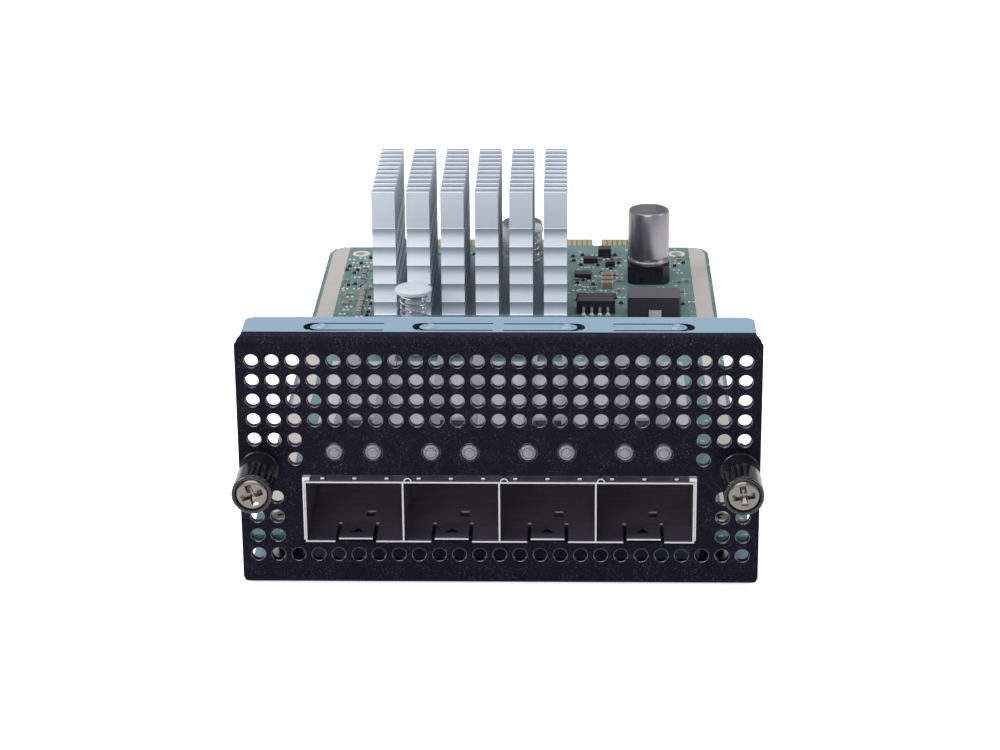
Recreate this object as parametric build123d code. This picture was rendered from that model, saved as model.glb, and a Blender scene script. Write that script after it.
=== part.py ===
"""Pluggable ethernet expansion module: a perforated bezel, four caged transceiver ports,
two captive thumbscrews and a circuit board with a card-edge tail.

All sizes are in millimetres. X runs across the bezel, Y runs back from it, Z is up. Every
piece is drawn with the bezel's front face at y = 0 and its bottom edge at z = 0, and
`save` then moves it so that the origin is at the bottom centre of the whole module.
"""
from build123d import *
import math
import os

os.makedirs("parts", exist_ok=True)

# ---- Driving sizes -------------------------------------------------------------------
PORT_PITCH = 14.25      # spacing of ganged small-form-factor ports
PORT_COUNT = 4

BEZEL_W, BEZEL_H, BEZEL_T = 76.8, 39.6, 1.0
TOP_BEND_R, BOTTOM_BEND_R = 1.5, 1.0
TOP_INSET, BOTTOM_INSET = 1.0, 0.7      # the folds are narrower than the face, each side
FINGER_Y = 3.75         # middle of the spring fingers on the top fold
TOP_FLANGE_D, BOTTOM_FLANGE_D = 7.8, 14.0

HOLE_R, HOLE_PITCH_X, HOLE_PITCH_Z = 1.0, 3.0, 3.08
HOLE_ROWS, HOLE_FIRST_Z, HOLE_MARGIN = 11, 4.8, 2.4
HOLE_SIDES = 8          # what repeats is drawn with flats, to keep the facets few
SMALL_SIDES = 12        # flats round a small turned piece
ROUND_SIDES = 18        # flats round a turned piece that shows

BOARD_W, BOARD_T, BOARD_TOP_Z = 74.5, 1.6, 7.07
BOARD_FRONT_Y, BOARD_REAR_Y = 1.9, 137.5
TAIL_X0, TAIL_X1, TAIL_L = -29.0, 27.15, 6.2
KEY_X, KEY_W, KEY_L = 15.5, 1.9, 5.2

CAGE_SHEET = 0.25
CAGE_H, CAGE_FRONT_Y, CAGE_REAR_Y = 9.78, -0.6, 48.9

LIGHT_Z, LIGHT_R, LIGHT_OFFSET = 21.32, 1.18, 2.85

SCREW_INSET, SCREW_Z = 3.0, 18.7
SCREW_FRONT_Y, KNOB_R, KNOB_L = -9.9, 2.92, 5.8
THREAD_R, RUNNING_GAP = 1.5, 0.08

SINK_X0, SINK_X1 = -24.7, 9.7
SINK_Y0, SINK_Y1 = 75.2, 116.4
SINK_BASE_Z, SINK_BASE_T, SINK_TOP_Z = 9.6, 2.8, 35.43
FIN_ROWS, FIN_FIRST_Y, FIN_PITCH, FIN_T = 11, 83.4, 2.58, 1.0
RIDGES, FIRST_RIDGE_Z, RIDGE_PITCH = 4, 15.0, 3.43     # bright edges between the fin's coves
COVE_DEPTH, PLAIN_FIN_Z = 0.3, 28.72                    # above this height the fin is flat
SAW_CUTS, SAW_W = 5, 1.95

# ---- Sizes worked out from those -----------------------------------------------------
HOLE_COLUMNS = 2 * int((BEZEL_W / 2 - HOLE_MARGIN) / HOLE_PITCH_X) + 1
SCREW_X = BEZEL_W / 2 - SCREW_INSET
BOARD_BOTTOM_Z = BOARD_TOP_Z - BOARD_T
BOARD_END_Y = BOARD_REAR_Y + TAIL_L
CAGE_TOP_Z = BOARD_TOP_Z + CAGE_H
CAGE_HALF_W = PORT_COUNT * PORT_PITCH / 2 + CAGE_SHEET / 2 + 0.2
PORT_X = [(i - (PORT_COUNT - 1) / 2) * PORT_PITCH for i in range(PORT_COUNT)]
DIVIDER_X = [(i - PORT_COUNT / 2) * PORT_PITCH for i in range(1, PORT_COUNT)]
MIDDLE_Y = (SCREW_FRONT_Y + BOARD_END_Y) / 2
SINK_MID_X = (SINK_X0 + SINK_X1) / 2
FIN_BASE_Z = SINK_BASE_Z + SINK_BASE_T
FIN_LAST_Y = FIN_FIRST_Y + (FIN_ROWS - 1) * FIN_PITCH + FIN_T
PIN_W = (SINK_X1 - SINK_X0 - SAW_CUTS * SAW_W) / (SAW_CUTS + 1)
PUSH_PINS = {"front": (-17.3, 79.1), "rear": (1.9, 113.6)}
SCREW_REAR_Y = 7.4


# ---- Helpers -------------------------------------------------------------------------
def block(x0, x1, y0, y1, z0, z1):
    """A box between two corners."""
    middle = ((x0 + x1) / 2, (y0 + y1) / 2, (z0 + z1) / 2)
    return Pos(*middle) * Box(x1 - x0, y1 - y0, z1 - z0)


def rod(x, y0, y1, z, radius):
    """A round bar along Y."""
    bar = Rot(-90, 0, 0) * Cylinder(radius, y1 - y0)
    return Pos(x, (y0 + y1) / 2, z) * bar


def post(x, y, z0, z1, radius):
    """A round bar along Z."""
    return Pos(x, y, (z0 + z1) / 2) * Cylinder(radius, z1 - z0)


def facing_front(x, y, z):
    """A plane seen from the front: its own X is X and its own Y is Z."""
    return Plane(origin=(x, y, z), x_dir=(1, 0, 0), z_dir=(0, -1, 0))


def flats(radius, sides):
    """A regular outline that keeps the area of a circle, one flat at the bottom."""
    corner = radius * math.sqrt(2 * math.pi / sides / math.sin(2 * math.pi / sides))
    return Rot(0, 0, 90 + 180 / sides) * RegularPolygon(corner, sides)


def punch(places, radius, y0, y1, sides=HOLE_SIDES):
    """Flat-sided hole cutters along Y at (x, z) places, as one extrusion."""
    outlines = Sketch() + [Pos(x, z) * flats(radius, sides) for x, z in places]
    return extrude(facing_front(0, y0, 0) * outlines, -(y1 - y0))


def stack(steps, sides):
    """A turned form along +Z, drawn with flats: (height, radius) steps, lowest first."""
    form = None
    for (low, lower_r), (high, upper_r) in zip(steps, steps[1:]):
        shrink = (lower_r - upper_r) * math.cos(math.pi / sides)
        taper = math.degrees(math.atan2(shrink, high - low))
        slice_ = Pos(0, 0, low) * extrude(flats(lower_r, sides), high - low, taper=taper)
        form = slice_ if form is None else form + slice_
    return form


def tube(y0, y1, outer, inner, sides=SMALL_SIDES):
    """A flat-sided tube along Y, about the origin."""
    return extrude(facing_front(0, y1, 0) * (flats(outer, sides) - flats(inner, sides)), y1 - y0)


def drill(x, y, radius):
    """A flat-sided cutter along Z, through everything near the board."""
    return Pos(x, y, 0) * extrude(flats(radius, SMALL_SIDES), 20)


def side_profile(points, x0, x1):
    """A closed outline of (y, z) points, extruded along X."""
    across = Plane(origin=(x0, 0, 0), x_dir=(0, 1, 0), z_dir=(1, 0, 0))
    return extrude(across * make_face(Polyline(*points, close=True)), x1 - x0)


def turned(points, x, z):
    """A (radius, y) outline turned about an axis along Y at (x, z)."""
    outline = make_face(Polyline(*[(r, y, 0) for r, y in points], close=True))
    return Pos(x, 0, z) * revolve(outline, Axis.Y)


def coil(radius, wire, turns, length, sides=4, steps=8):
    """A helical spring along +Z from z = 0, its wire and turns drawn with flats."""
    count = int(turns * steps)
    rise = length - 2 * wire
    way = [
        (radius * math.cos(2 * math.pi * i / steps), radius * math.sin(2 * math.pi * i / steps),
         wire + rise * i / count)
        for i in range(count + 1)
    ]
    first = Vector(*way[1]) - Vector(*way[0])
    start = Plane(origin=way[0], z_dir=first)
    return sweep(start * RegularPolygon(wire, sides), Polyline(*way), transition=Transition.RIGHT)


def save(name, *shapes):
    """Write one node: its shapes stay separate solids, moved to the module's own frame."""
    solids = [solid for shape in shapes for solid in shape.solids()]
    node = solids[0] if len(solids) == 1 else Compound(children=solids)
    export_step(Pos(0, -MIDDLE_Y, 0) * node, f"parts/{name}.step")


# ---- Bezel ---------------------------------------------------------------------------
def bezel_holes():
    """Places of the punched holes: every row is full above and below the ports and lights."""
    ends = {1: 2, 2: 2, 3: 2, 4: 0, 6: 3}       # holes left at each end of a broken row
    places = []
    for row in range(HOLE_ROWS):
        z = HOLE_FIRST_Z + row * HOLE_PITCH_Z
        for column in range(HOLE_COLUMNS):
            from_end = min(column, HOLE_COLUMNS - 1 - column)
            if row == 5:
                keep = from_end == 2
            else:
                keep = from_end < ends.get(row, HOLE_COLUMNS)
            if keep:
                places.append(((column - (HOLE_COLUMNS - 1) / 2) * HOLE_PITCH_X, z))
    return places


def folded_channel():
    """The face with both flanges folded back from it."""
    outer = block(-BEZEL_W / 2, BEZEL_W / 2, 0, BOTTOM_FLANGE_D, 0, BEZEL_H)
    inner = block(-BEZEL_W, BEZEL_W, BEZEL_T, BOTTOM_FLANGE_D + 1, BEZEL_T, BEZEL_H - BEZEL_T)
    bottom, top = outer.edges().filter_by(Axis.X).group_by(Axis.Y)[0].sort_by(Axis.Z)
    outer = fillet(bottom, BOTTOM_BEND_R)
    top = outer.edges().filter_by(Axis.X).filter_by(lambda e: e.center().Y < 0.1).sort_by(Axis.Z)[-1]
    crook = inner.edges().filter_by(Axis.X).group_by(Axis.Y)[0].sort_by(Axis.Z)[-1]
    return fillet(top, TOP_BEND_R) - fillet(crook, TOP_BEND_R - BEZEL_T)


def corner_trim(side, z_step, z_fold, inset, past):
    """Cutter that rounds the face's corner off into a narrower fold, seen from the front."""
    edge, rise = BEZEL_W / 2, z_fold - z_step
    outline = [(edge - 0.15 * inset, z_step), (edge - 0.25 * inset, z_step + 0.35 * rise),
               (edge - 0.5 * inset, z_step + 0.7 * rise), (edge - inset, z_fold), (edge - inset, z_fold + rise),
               (edge + past, z_fold + rise), (edge + past, z_step)]
    face = make_face(Polyline(*[(side * x, z) for x, z in outline], close=True))
    return extrude(facing_front(0, -past, 0) * face, -(BOTTOM_FLANGE_D + 2 * past))


def finger_outline(root, tip, width):
    """Plan of a finger with a blunt nose, from root to tip along X."""
    half, nose = width / 2, width / 3
    return make_face(Polyline((root, -half), (tip - nose, -half), (tip, -half / 2), (tip, half / 2),
                              (tip - nose, half), (root, half), close=True))


def grounding_finger(centre_x, outward):
    """The slit that frees one spring finger of the top flange, and the finger's dimple."""
    length, width, slit, nose_gap = 11.9, 2.3, 0.5, 1.1
    around = finger_outline(0, length, width + 2 * slit)
    slit_plan = around - finger_outline(-1, length - nose_gap, width)
    place = Pos(centre_x - outward * length / 2, FINGER_Y) * Rot(0, 0, 0 if outward > 0 else 180)
    cut = Pos(0, 0, BEZEL_H - 1.5 * BEZEL_T) * extrude(place * slit_plan, 2 * BEZEL_T)
    dimple = extrude(place * Pos(length - 2.9, 0) * flats(0.9, HOLE_SIDES), 0.3, taper=35)
    return cut, Pos(0, 0, BEZEL_H) * dimple


def front_bezel():
    """Painted sheet-metal front: windows, punched holes, folds and spring fingers."""
    bezel = folded_channel()
    past = BEZEL_W
    for side in (-1, 1):
        bezel -= corner_trim(side, BEZEL_H - TOP_BEND_R, BEZEL_H - 0.1, TOP_INSET, 2)
        bezel -= corner_trim(side, BOTTOM_BEND_R, 0.1, BOTTOM_INSET, 2)
        for inset, z0, z1 in ((BOTTOM_INSET, -1, BEZEL_T + 0.3), (TOP_INSET, BEZEL_H - BEZEL_T - 0.3, past)):
            x0, x1 = sorted((side * (BEZEL_W / 2 - inset), side * past))
            bezel -= block(x0, x1, BEZEL_T + 0.02, past, z0, z1)
    bezel -= block(-past, past, TOP_FLANGE_D, past, BEZEL_H / 2, past)
    corners = bezel.edges().filter_by(Axis.Z).filter_by(lambda e: e.center().Y > TOP_FLANGE_D - 0.1)
    bezel = fillet(corners, 1.4)
    for place, outward in ((-22.7, -1), (-6.7, -1), (6.7, 1), (22.7, 1)):
        cut, dimple = grounding_finger(place, outward)
        bezel = bezel - cut + dimple
    bezel -= punch(bezel_holes(), HOLE_R, -1, BEZEL_T + 0.4)
    lights = [(x + side * LIGHT_OFFSET, LIGHT_Z) for x in PORT_X for side in (-1, 1)]
    bezel -= punch(lights, LIGHT_R + 0.12, -1, BEZEL_T + 0.4)
    window = CAGE_HALF_W + 0.35
    bezel -= block(-window, window, -1, BEZEL_T + 0.4, BOARD_TOP_Z - 0.07, CAGE_TOP_Z + 0.8)
    for side in (-1, 1):
        bezel -= punch([(side * SCREW_X, SCREW_Z)], FERRULE_R + 0.02, -1, 2, SMALL_SIDES)
        bezel += standoff(side * BOARD_SCREW_X)
    return bezel


# ---- Board fixing --------------------------------------------------------------------
BOARD_SCREW_X, BOARD_SCREW_Y = 32.5, 6.4


def standoff(x):
    """A self-clinched pillar on the bottom flange, drilled for a board screw."""
    ring = flats(2.5, SMALL_SIDES) - flats(1.3, SMALL_SIDES)
    return Pos(x, BOARD_SCREW_Y, BEZEL_T - 0.2) * extrude(ring, BOARD_BOTTOM_Z - BEZEL_T + 0.2)


def board_screw(x):
    """Pan-head screw that holds the board's front corner on its pillar."""
    under, top = BOARD_TOP_Z, BOARD_TOP_Z + 1.4
    head = stack([(under, 2.3), (top - 0.4, 2.3), (top, 1.8)], SMALL_SIDES)
    for turn in (0, 90):
        head -= Pos(0, 0, top) * Rot(0, 0, turn) * Box(2.4, 0.5, 1.2)
    shank = Pos(0, 0, BEZEL_T + 0.4) * extrude(flats(1.2, SMALL_SIDES), under - BEZEL_T - 0.2)
    return Pos(x, BOARD_SCREW_Y, 0) * (head + shank)


# ---- Circuit board -------------------------------------------------------------------
REAR_HOLE_X, REAR_HOLE_Y, REAR_HOLE_R = 31.0, 133.4, 1.1


def board_outline():
    """Plan of the bare board: chamfered rear corners, keyed tail."""
    half = BOARD_W / 2
    plan = make_face(Polyline(
        (-half, BOARD_FRONT_Y), (half, BOARD_FRONT_Y), (half, BOARD_REAR_Y - 3.5),
        (half - 0.8, BOARD_REAR_Y - 1.2), (half - 2.5, BOARD_REAR_Y), (TAIL_X1, BOARD_REAR_Y), (TAIL_X1, BOARD_END_Y - 0.7),
        (TAIL_X1 - 0.7, BOARD_END_Y), (TAIL_X0 + 0.7, BOARD_END_Y), (TAIL_X0, BOARD_END_Y - 0.7),
        (TAIL_X0, BOARD_REAR_Y), (-half + 2.5, BOARD_REAR_Y), (-half + 0.8, BOARD_REAR_Y - 1.4),
        (-half, BOARD_REAR_Y - 4.0),
        close=True))
    key = Rectangle(KEY_W, 2 * KEY_L - KEY_W)
    key_end = Circle(KEY_W / 2)
    plan -= Pos(KEY_X, BOARD_END_Y) * key
    return plan - Pos(KEY_X, BOARD_END_Y - KEY_L + KEY_W / 2) * key_end


def circuit_board():
    """The board, with its screw, guide-pin and push-pin holes and a bevelled tail edge."""
    board = Pos(0, 0, BOARD_BOTTOM_Z) * extrude(board_outline(), BOARD_T)
    for side in (-1, 1):
        board -= drill(side * BOARD_SCREW_X, BOARD_SCREW_Y, 1.4)
        board -= post(side * REAR_HOLE_X, REAR_HOLE_Y, 0, 20, REAR_HOLE_R)
    for x, y in PUSH_PINS.values():
        board -= drill(x, y, PUSH_SHANK_R + RUNNING_GAP)
    wide = (TAIL_X0 - 1, TAIL_X1 + 1)
    for z, up in ((BOARD_TOP_Z, 1), (BOARD_BOTTOM_Z, -1)):
        bevel = [(BOARD_END_Y - 1.2, z), (BOARD_END_Y + 1, z - up * 0.9), (BOARD_END_Y + 1, z)]
        board -= side_profile(bevel, *wide)
    return board


def guide_strips():
    """Bare plated rails that ride in the chassis guides, along both long edges, both faces."""
    front, rear, plating = 10.0, BOARD_REAR_Y - 0.3, 0.06
    inner, outer = BOARD_W / 2 - 3.8, BOARD_W / 2 - 0.7
    strips = []
    for side in (-1, 1):
        plan = make_face(Polyline(*[(side * x, y) for x, y in (
            (inner, front), (outer, front), (outer, rear - 3.4), (outer - 0.5, rear - 1.3),
            (outer - 1.6, rear), (inner, rear))], close=True))
        for z in (BOARD_TOP_Z, BOARD_BOTTOM_Z - plating):
            strips.append(extrude(Pos(0, 0, z) * plan, plating, dir=(0, 0, 1)))
    return strips


def edge_contacts():
    """Gold fingers at 1 mm pitch on both faces of the tail, either side of the key."""
    pitch, width, length, plating = 1.0, 0.7, 3.9, 0.05
    rear = BOARD_END_Y - 1.3
    places = [KEY_X + 1.5 + i * pitch for i in range(10)]
    places += [KEY_X - 1.5 - i * pitch for i in range(38)]
    fingers = []
    for x in places:
        sides = (x - width / 2, x + width / 2, rear - length, rear)
        fingers.append(block(*sides, BOARD_TOP_Z, BOARD_TOP_Z + plating))
        fingers.append(block(*sides, BOARD_BOTTOM_Z - plating, BOARD_BOTTOM_Z))
    return fingers


# ---- Port cage -----------------------------------------------------------------------
CAGE_FLOOR_Z = BOARD_TOP_Z + CAGE_SHEET
FLOOR_REAR_Y = 37.0
CONNECTOR_FRONT_Y, CONNECTOR_REAR_Y = 37.4, 47.6


def cage_top():
    """Folded lid over all four ports: roof, outer walls and rear wall, with vent holes."""
    lid = block(-CAGE_HALF_W, CAGE_HALF_W, CAGE_FRONT_Y, CAGE_REAR_Y, BOARD_TOP_Z, CAGE_TOP_Z)
    inside = CAGE_HALF_W - CAGE_SHEET
    lid -= block(-inside, inside, CAGE_FRONT_Y - 1, CAGE_REAR_Y - CAGE_SHEET,
                 BOARD_TOP_Z - 1, CAGE_TOP_Z - CAGE_SHEET)
    vent = extrude(RegularPolygon(1.1, 6), 4)
    for x in PORT_X:
        for side in (-1, 1):
            lid -= Pos(x + side * 2.6, 20.0, CAGE_TOP_Z - 2) * vent
    for x in DIVIDER_X:
        lid += rolled_tab(x)
    return lid


def rolled_tab(divider_x):
    """Half-round stiffening tab beside a divider, at the front of the roof."""
    centre = divider_x + 0.75
    radius, wall = 0.62, 0.18
    ring = RegularPolygon(radius, 10) - RegularPolygon(radius - wall, 10)
    ring -= Pos(0, -radius) * Rectangle(3 * radius, 2 * radius - 0.04)
    return extrude(facing_front(centre, CAGE_FRONT_Y, CAGE_TOP_Z) * ring, -1.2)


def latch_tongue(x):
    """Springy floor tongue of one port, lifted at the front, with a triangular latch window."""
    root, front, lift = 6.0, CAGE_FRONT_Y, 0.45
    floor, top = BOARD_TOP_Z, CAGE_FLOOR_Z
    tongue = side_profile(
        [(root, floor), (root, top), (front + 1.0, top + lift), (front, top + lift),
         (front, floor + lift), (front + 1.0, floor + lift)], x - 2.5, x + 2.5)
    window = make_face(Polyline((-1.45, 0), (1.45, 0), (0, 2.3), close=True))
    return tongue - Pos(x, 1.7, floor - 1) * extrude(window, 4)


def cage_floor():
    """Floor of all four ports, slit round a latch tongue in each."""
    inside = CAGE_HALF_W - CAGE_SHEET - 0.02
    floor = block(-inside, inside, CAGE_FRONT_Y, FLOOR_REAR_Y, BOARD_TOP_Z, CAGE_FLOOR_Z)
    for x in PORT_X:
        floor -= block(x - 3.05, x + 3.05, CAGE_FRONT_Y - 1, 5.9, 0, CAGE_FLOOR_Z + 1)
        floor += latch_tongue(x)
        floor -= block(x + 0.95, x + 2.25, 8.2, 10.2, 0, CAGE_FLOOR_Z + 1)
    return floor


def cage_divider(x):
    """Thin wall between two ports, with a row of small spring windows."""
    half = CAGE_SHEET / 2
    wall = block(x - half, x + half, CAGE_FRONT_Y, CAGE_REAR_Y - CAGE_SHEET - 0.02,
                 CAGE_FLOOR_Z, CAGE_TOP_Z - CAGE_SHEET)
    wall -= block(x - 1, x + 1, 37.0, 60, 0, CAGE_FLOOR_Z + 0.4)
    for y in (9.0, 24.0):
        middle = (CAGE_FLOOR_Z + CAGE_TOP_Z) / 2
        wall -= block(x - 1, x + 1, y, y + 5.0, middle - 1.6, middle + 1.6)
    return wall


def cage_spring_collar():
    """Grounding collar round the cage mouth, its fingers bowed out to the bezel window."""
    sheet = 0.12
    z0, z1 = CAGE_TOP_Z, CAGE_TOP_Z + sheet
    collar = block(-CAGE_HALF_W, CAGE_HALF_W, 2.2, 6.0, z0, z1)
    bow = [(2.3, z0), (2.3, z1), (1.2, z1 + 0.5), (-0.1, z1 + 0.3), (-0.1, z0 + 0.1),
           (1.2, z0 + 0.5)]
    for x in PORT_X:
        for offset in (-4.75, 0, 4.75):
            collar += side_profile(bow, x + offset - 0.28, x + offset + 0.28)
    for sign in (-1, 1):
        flap = [(0, 6.0), (sheet, 6.0), (sheet, 2.2), (0.24, 1.2), (0.24, -0.4), (0.06, -0.4),
                (0.06, 1.2), (0, 1.8)]
        plan = make_face(Polyline(*[(sign * (CAGE_HALF_W + x), y) for x, y in flap], close=True))
        collar += extrude(Pos(0, 0, BOARD_TOP_Z + 0.3) * plan, z1 - BOARD_TOP_Z - 0.3, dir=(0, 0, 1))
        x0, x1 = sorted((sign * (CAGE_HALF_W - 0.8), sign * (CAGE_HALF_W + 0.24)))
        collar += block(x0, x1, -0.4, -0.2, z0 - 0.1, z0 + 0.6)
        collar += block(x0, x1, -0.4, 2.3, z0, z1)
    return collar


def port_connector(x):
    """Host connector at the back of one port: a mouth for the module's card edge."""
    z0 = BOARD_TOP_Z
    body = block(x - 5.75, x + 5.75, CONNECTOR_FRONT_Y + 2.2, CONNECTOR_REAR_Y, z0, z0 + 5.6)
    nose = block(x - 5.2, x + 5.2, CONNECTOR_FRONT_Y, CONNECTOR_REAR_Y - 3, z0 + 1.6, z0 + 5.4)
    nose = chamfer(nose.edges().group_by(Axis.Y)[0], 0.4)
    body = body + nose
    body -= block(x - 4.3, x + 4.3, CONNECTOR_FRONT_Y - 1, CONNECTOR_FRONT_Y + 6, z0 + 2.9, z0 + 4.1)
    return body


# ---- Light pipes ---------------------------------------------------------------------
def light_pipe(port_x):
    """Clear twin light guide of one port: two heads, bars over the cage, legs down to the LEDs."""
    bar, leg_y = 0.85, 52.3
    shape = None
    for side in (-1, 1):
        x = port_x + side * LIGHT_OFFSET
        head = stack([(-0.55, 0.65), (-0.1, LIGHT_R), (3.0, LIGHT_R)], SMALL_SIDES)
        head = Pos(x, 0, LIGHT_Z) * Rot(-90, 0, 0) * head
        guide = side_profile(
            [(2.6, LIGHT_Z - bar), (2.6, LIGHT_Z + bar), (leg_y - bar, LIGHT_Z + bar),
             (leg_y + bar, LIGHT_Z - bar), (leg_y + bar, LED_TOP_Z + 0.2),
             (leg_y - bar, LED_TOP_Z + 0.2), (leg_y - bar, LIGHT_Z - bar)], x - bar, x + bar)
        guide += head
        for y in (11.0, 44.0):
            guide += block(x - 0.6, x + 0.6, y, y + 1.4, CAGE_TOP_Z, LIGHT_Z)
        shape = guide if shape is None else shape + guide
    for y in (11.0, 44.0):
        shape += block(port_x - LIGHT_OFFSET, port_x + LIGHT_OFFSET, y, y + 1.4,
                       LIGHT_Z - 0.6, LIGHT_Z + 0.6)
    return shape


LED_TOP_Z = BOARD_TOP_Z + 0.9


def status_leds():
    """Surface-mount lamps under the legs of the light pipes."""
    places = [x + side * LIGHT_OFFSET for x in PORT_X for side in (-1, 1)]
    return [block(x - 0.8, x + 0.8, 51.5, 53.1, BOARD_TOP_Z, LED_TOP_Z) for x in places]


# ---- Heat sink and its spring pins -----------------------------------------------------
PUSH_SHANK_R, PUSH_HEAD_R, PUSH_HEAD_T, PUSH_TOP_Z = 1.5, 3.25, 0.9, 19.26


def fin_profile(front_y, scalloped):
    """Side outline of one fin: coves between ridges on its front face, a flat back."""
    points = [(front_y, FIN_BASE_Z - 0.2)]
    if scalloped:
        edges = [FIRST_RIDGE_Z + i * RIDGE_PITCH for i in range(RIDGES)] + [PLAIN_FIN_Z]
        for low, high in zip(edges, edges[1:]):
            points += [(front_y, low), (front_y + COVE_DEPTH, (low + high) / 2)]
        points.append((front_y, PLAIN_FIN_Z))
    points += [(front_y + 0.05, SINK_TOP_Z), (front_y + FIN_T - 0.05, SINK_TOP_Z),
               (front_y + FIN_T, FIN_BASE_Z - 0.2)]
    return points


def heat_sink():
    """Extruded finned sink, sawn across into pins, with a ledge front and rear."""
    sink = block(SINK_X0, SINK_X1, SINK_Y0, SINK_Y1, SINK_BASE_Z, FIN_BASE_Z)
    sink = chamfer(sink.edges().filter_by(Axis.X), 0.3)
    for row in range(FIN_ROWS):
        outline = fin_profile(FIN_FIRST_Y + row * FIN_PITCH, scalloped=row == 0)
        sink += side_profile(outline, SINK_X0, SINK_X1)
    for cut in range(SAW_CUTS):
        x = SINK_X0 + (cut + 1) * PIN_W + cut * SAW_W
        sink -= block(x, x + SAW_W, FIN_FIRST_Y - 1, FIN_LAST_Y + 1, FIN_BASE_Z, SINK_TOP_Z + 1)
    for x, y in PUSH_PINS.values():
        sink -= drill(x, y, PUSH_SHANK_R + RUNNING_GAP)
    return sink


def controller_chip():
    """Ball-grid package: thin laminate with a raised moulded body."""
    y = (SINK_Y0 + SINK_Y1) / 2
    top = SINK_BASE_Z - 0.5
    laminate = Pos(SINK_MID_X, y, BOARD_TOP_Z + 0.45) * Box(27, 27, 0.9)
    body = block(SINK_MID_X - 12, SINK_MID_X + 12, y - 12, y + 12, BOARD_TOP_Z + 0.9, top)
    return laminate + chamfer(body.edges().group_by(Axis.Z)[-1], 0.3)


def thermal_pad():
    """Soft pad between the controller and the sink."""
    y = (SINK_Y0 + SINK_Y1) / 2
    return block(SINK_MID_X - 11.5, SINK_MID_X + 11.5, y - 11.5, y + 11.5,
                 SINK_BASE_Z - 0.5, SINK_BASE_Z)


def push_pin(x, y):
    """Nylon pin: round head, plain shank and a split barb under the board."""
    under, neck = BOARD_BOTTOM_Z - 0.05, PUSH_TOP_Z - PUSH_HEAD_T
    head = stack([(neck, PUSH_HEAD_R), (PUSH_TOP_Z - 0.25, PUSH_HEAD_R),
                  (PUSH_TOP_Z, PUSH_HEAD_R - 0.35)], ROUND_SIDES)
    shank = Pos(0, 0, under - 1) * extrude(flats(PUSH_SHANK_R, SMALL_SIDES), neck - under + 1.2)
    barb = stack([(under - 2.6, 0.8), (under - 0.6, 2.1), (under, 2.1)], SMALL_SIDES)
    return Pos(x, y, 0) * (head + shank + barb - Box(0.9, 6, 2 * (under + 0.9)))


def push_pin_spring(x, y):
    """Coil that presses the sink down, between its ledge and the pin's head."""
    length = PUSH_TOP_Z - PUSH_HEAD_T - FIN_BASE_Z
    return Pos(x, y, FIN_BASE_Z) * coil(2.25, 0.25, 4.5, length)


# ---- Other parts on the board ----------------------------------------------------------
def capacitor_can(x, y, radius, height):
    """Aluminium can with a rolled crimp above its base."""
    z0 = BOARD_TOP_Z + 3.4
    crimp = z0 + 1.1
    top = BOARD_TOP_Z + height
    steps = [(z0, radius), (crimp - 0.3, radius), (crimp, radius - 0.35), (crimp + 0.3, radius),
             (top - 0.35, radius), (top, radius - 0.35)]
    return Pos(x, y, 0) * stack(steps, ROUND_SIDES)


def capacitor_base(x, y, side, height=3.4):
    """Moulded square base with two clipped corners."""
    base = Pos(x, y, BOARD_TOP_Z + height / 2) * Box(side, side, height)
    clipped = base.edges().filter_by(Axis.Z).group_by(Axis.Y)[0]
    return chamfer(clipped, 1.2)


def regulator_chip():
    """Eight-lead moulded package."""
    body = block(11.4, 18.5, 98.8, 102.7, BOARD_TOP_Z + 0.25, BOARD_TOP_Z + 2.9)
    return chamfer(body.edges().group_by(Axis.Z)[-1], 0.35)


def regulator_leads():
    """Gull-wing leads of the regulator, four front and four rear."""
    leads = []
    for i in range(4):
        x = 14.95 + (i - 1.5) * 1.48
        for side, face in ((-1, 98.8), (1, 102.7)):
            bent = [(0, 1.2), (0, 1.45), (0.6, 1.45), (0.8, 0.25), (1.4, 0.25), (1.4, 0), (0.6, 0),
                    (0.4, 1.2)]
            outline = [(face + side * y, BOARD_TOP_Z + z) for y, z in bent]
            leads.append(side_profile(outline, x - 0.22, x + 0.22))
    return leads


def power_inductor():
    """Moulded choke, notched for its front terminal."""
    body = block(20.8, 30.4, 96.0, 101.6, BOARD_TOP_Z + 0.15, BOARD_TOP_Z + 4.2)
    body = chamfer(body.edges().filter_by(Axis.Z), 0.3)
    body -= block(24.45, 27.05, 95, 96.3, 0, BOARD_TOP_Z + 1.9)
    return body


def inductor_terminals():
    """Flat terminals of the choke: one set in a notch of its front, one up its rear."""
    return [block(24.6, 26.9, 95.7, 96.3, BOARD_TOP_Z, BOARD_TOP_Z + 1.75),
            block(24.6, 26.9, 101.6, 101.9, BOARD_TOP_Z, BOARD_TOP_Z + 1.75)]


def small_part(x, y, length, width, height):
    """A plain surface-mount part, centred at (x, y)."""
    return Pos(x, y, BOARD_TOP_Z + height / 2) * Box(length, width, height)


def ceramic_capacitors():
    """Tan chip capacitors in rows by the sink and the tail."""
    parts = [small_part(-28.8, y, 1.0, 2.0, 0.9) for y in (99, 102, 105, 108, 111)]
    parts += [small_part(17.2, y, 2.4, 1.5, 1.2) for y in (113.6, 116.0, 118.4)]
    parts += [small_part(x, 129.0, 1.6, 0.9, 0.8) for x in (-24, -20, 6, 9)]
    return parts


def chip_resistors():
    """Black chip resistors near the tail and the board edges."""
    parts = [small_part(x, 132.5, 1.6, 0.9, 0.5) for x in (-22, -18, -14, -10, 24, 27)]
    parts += [small_part(-29.4, y, 0.9, 1.6, 0.5) for y in (117, 120, 123)]
    return parts


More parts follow.
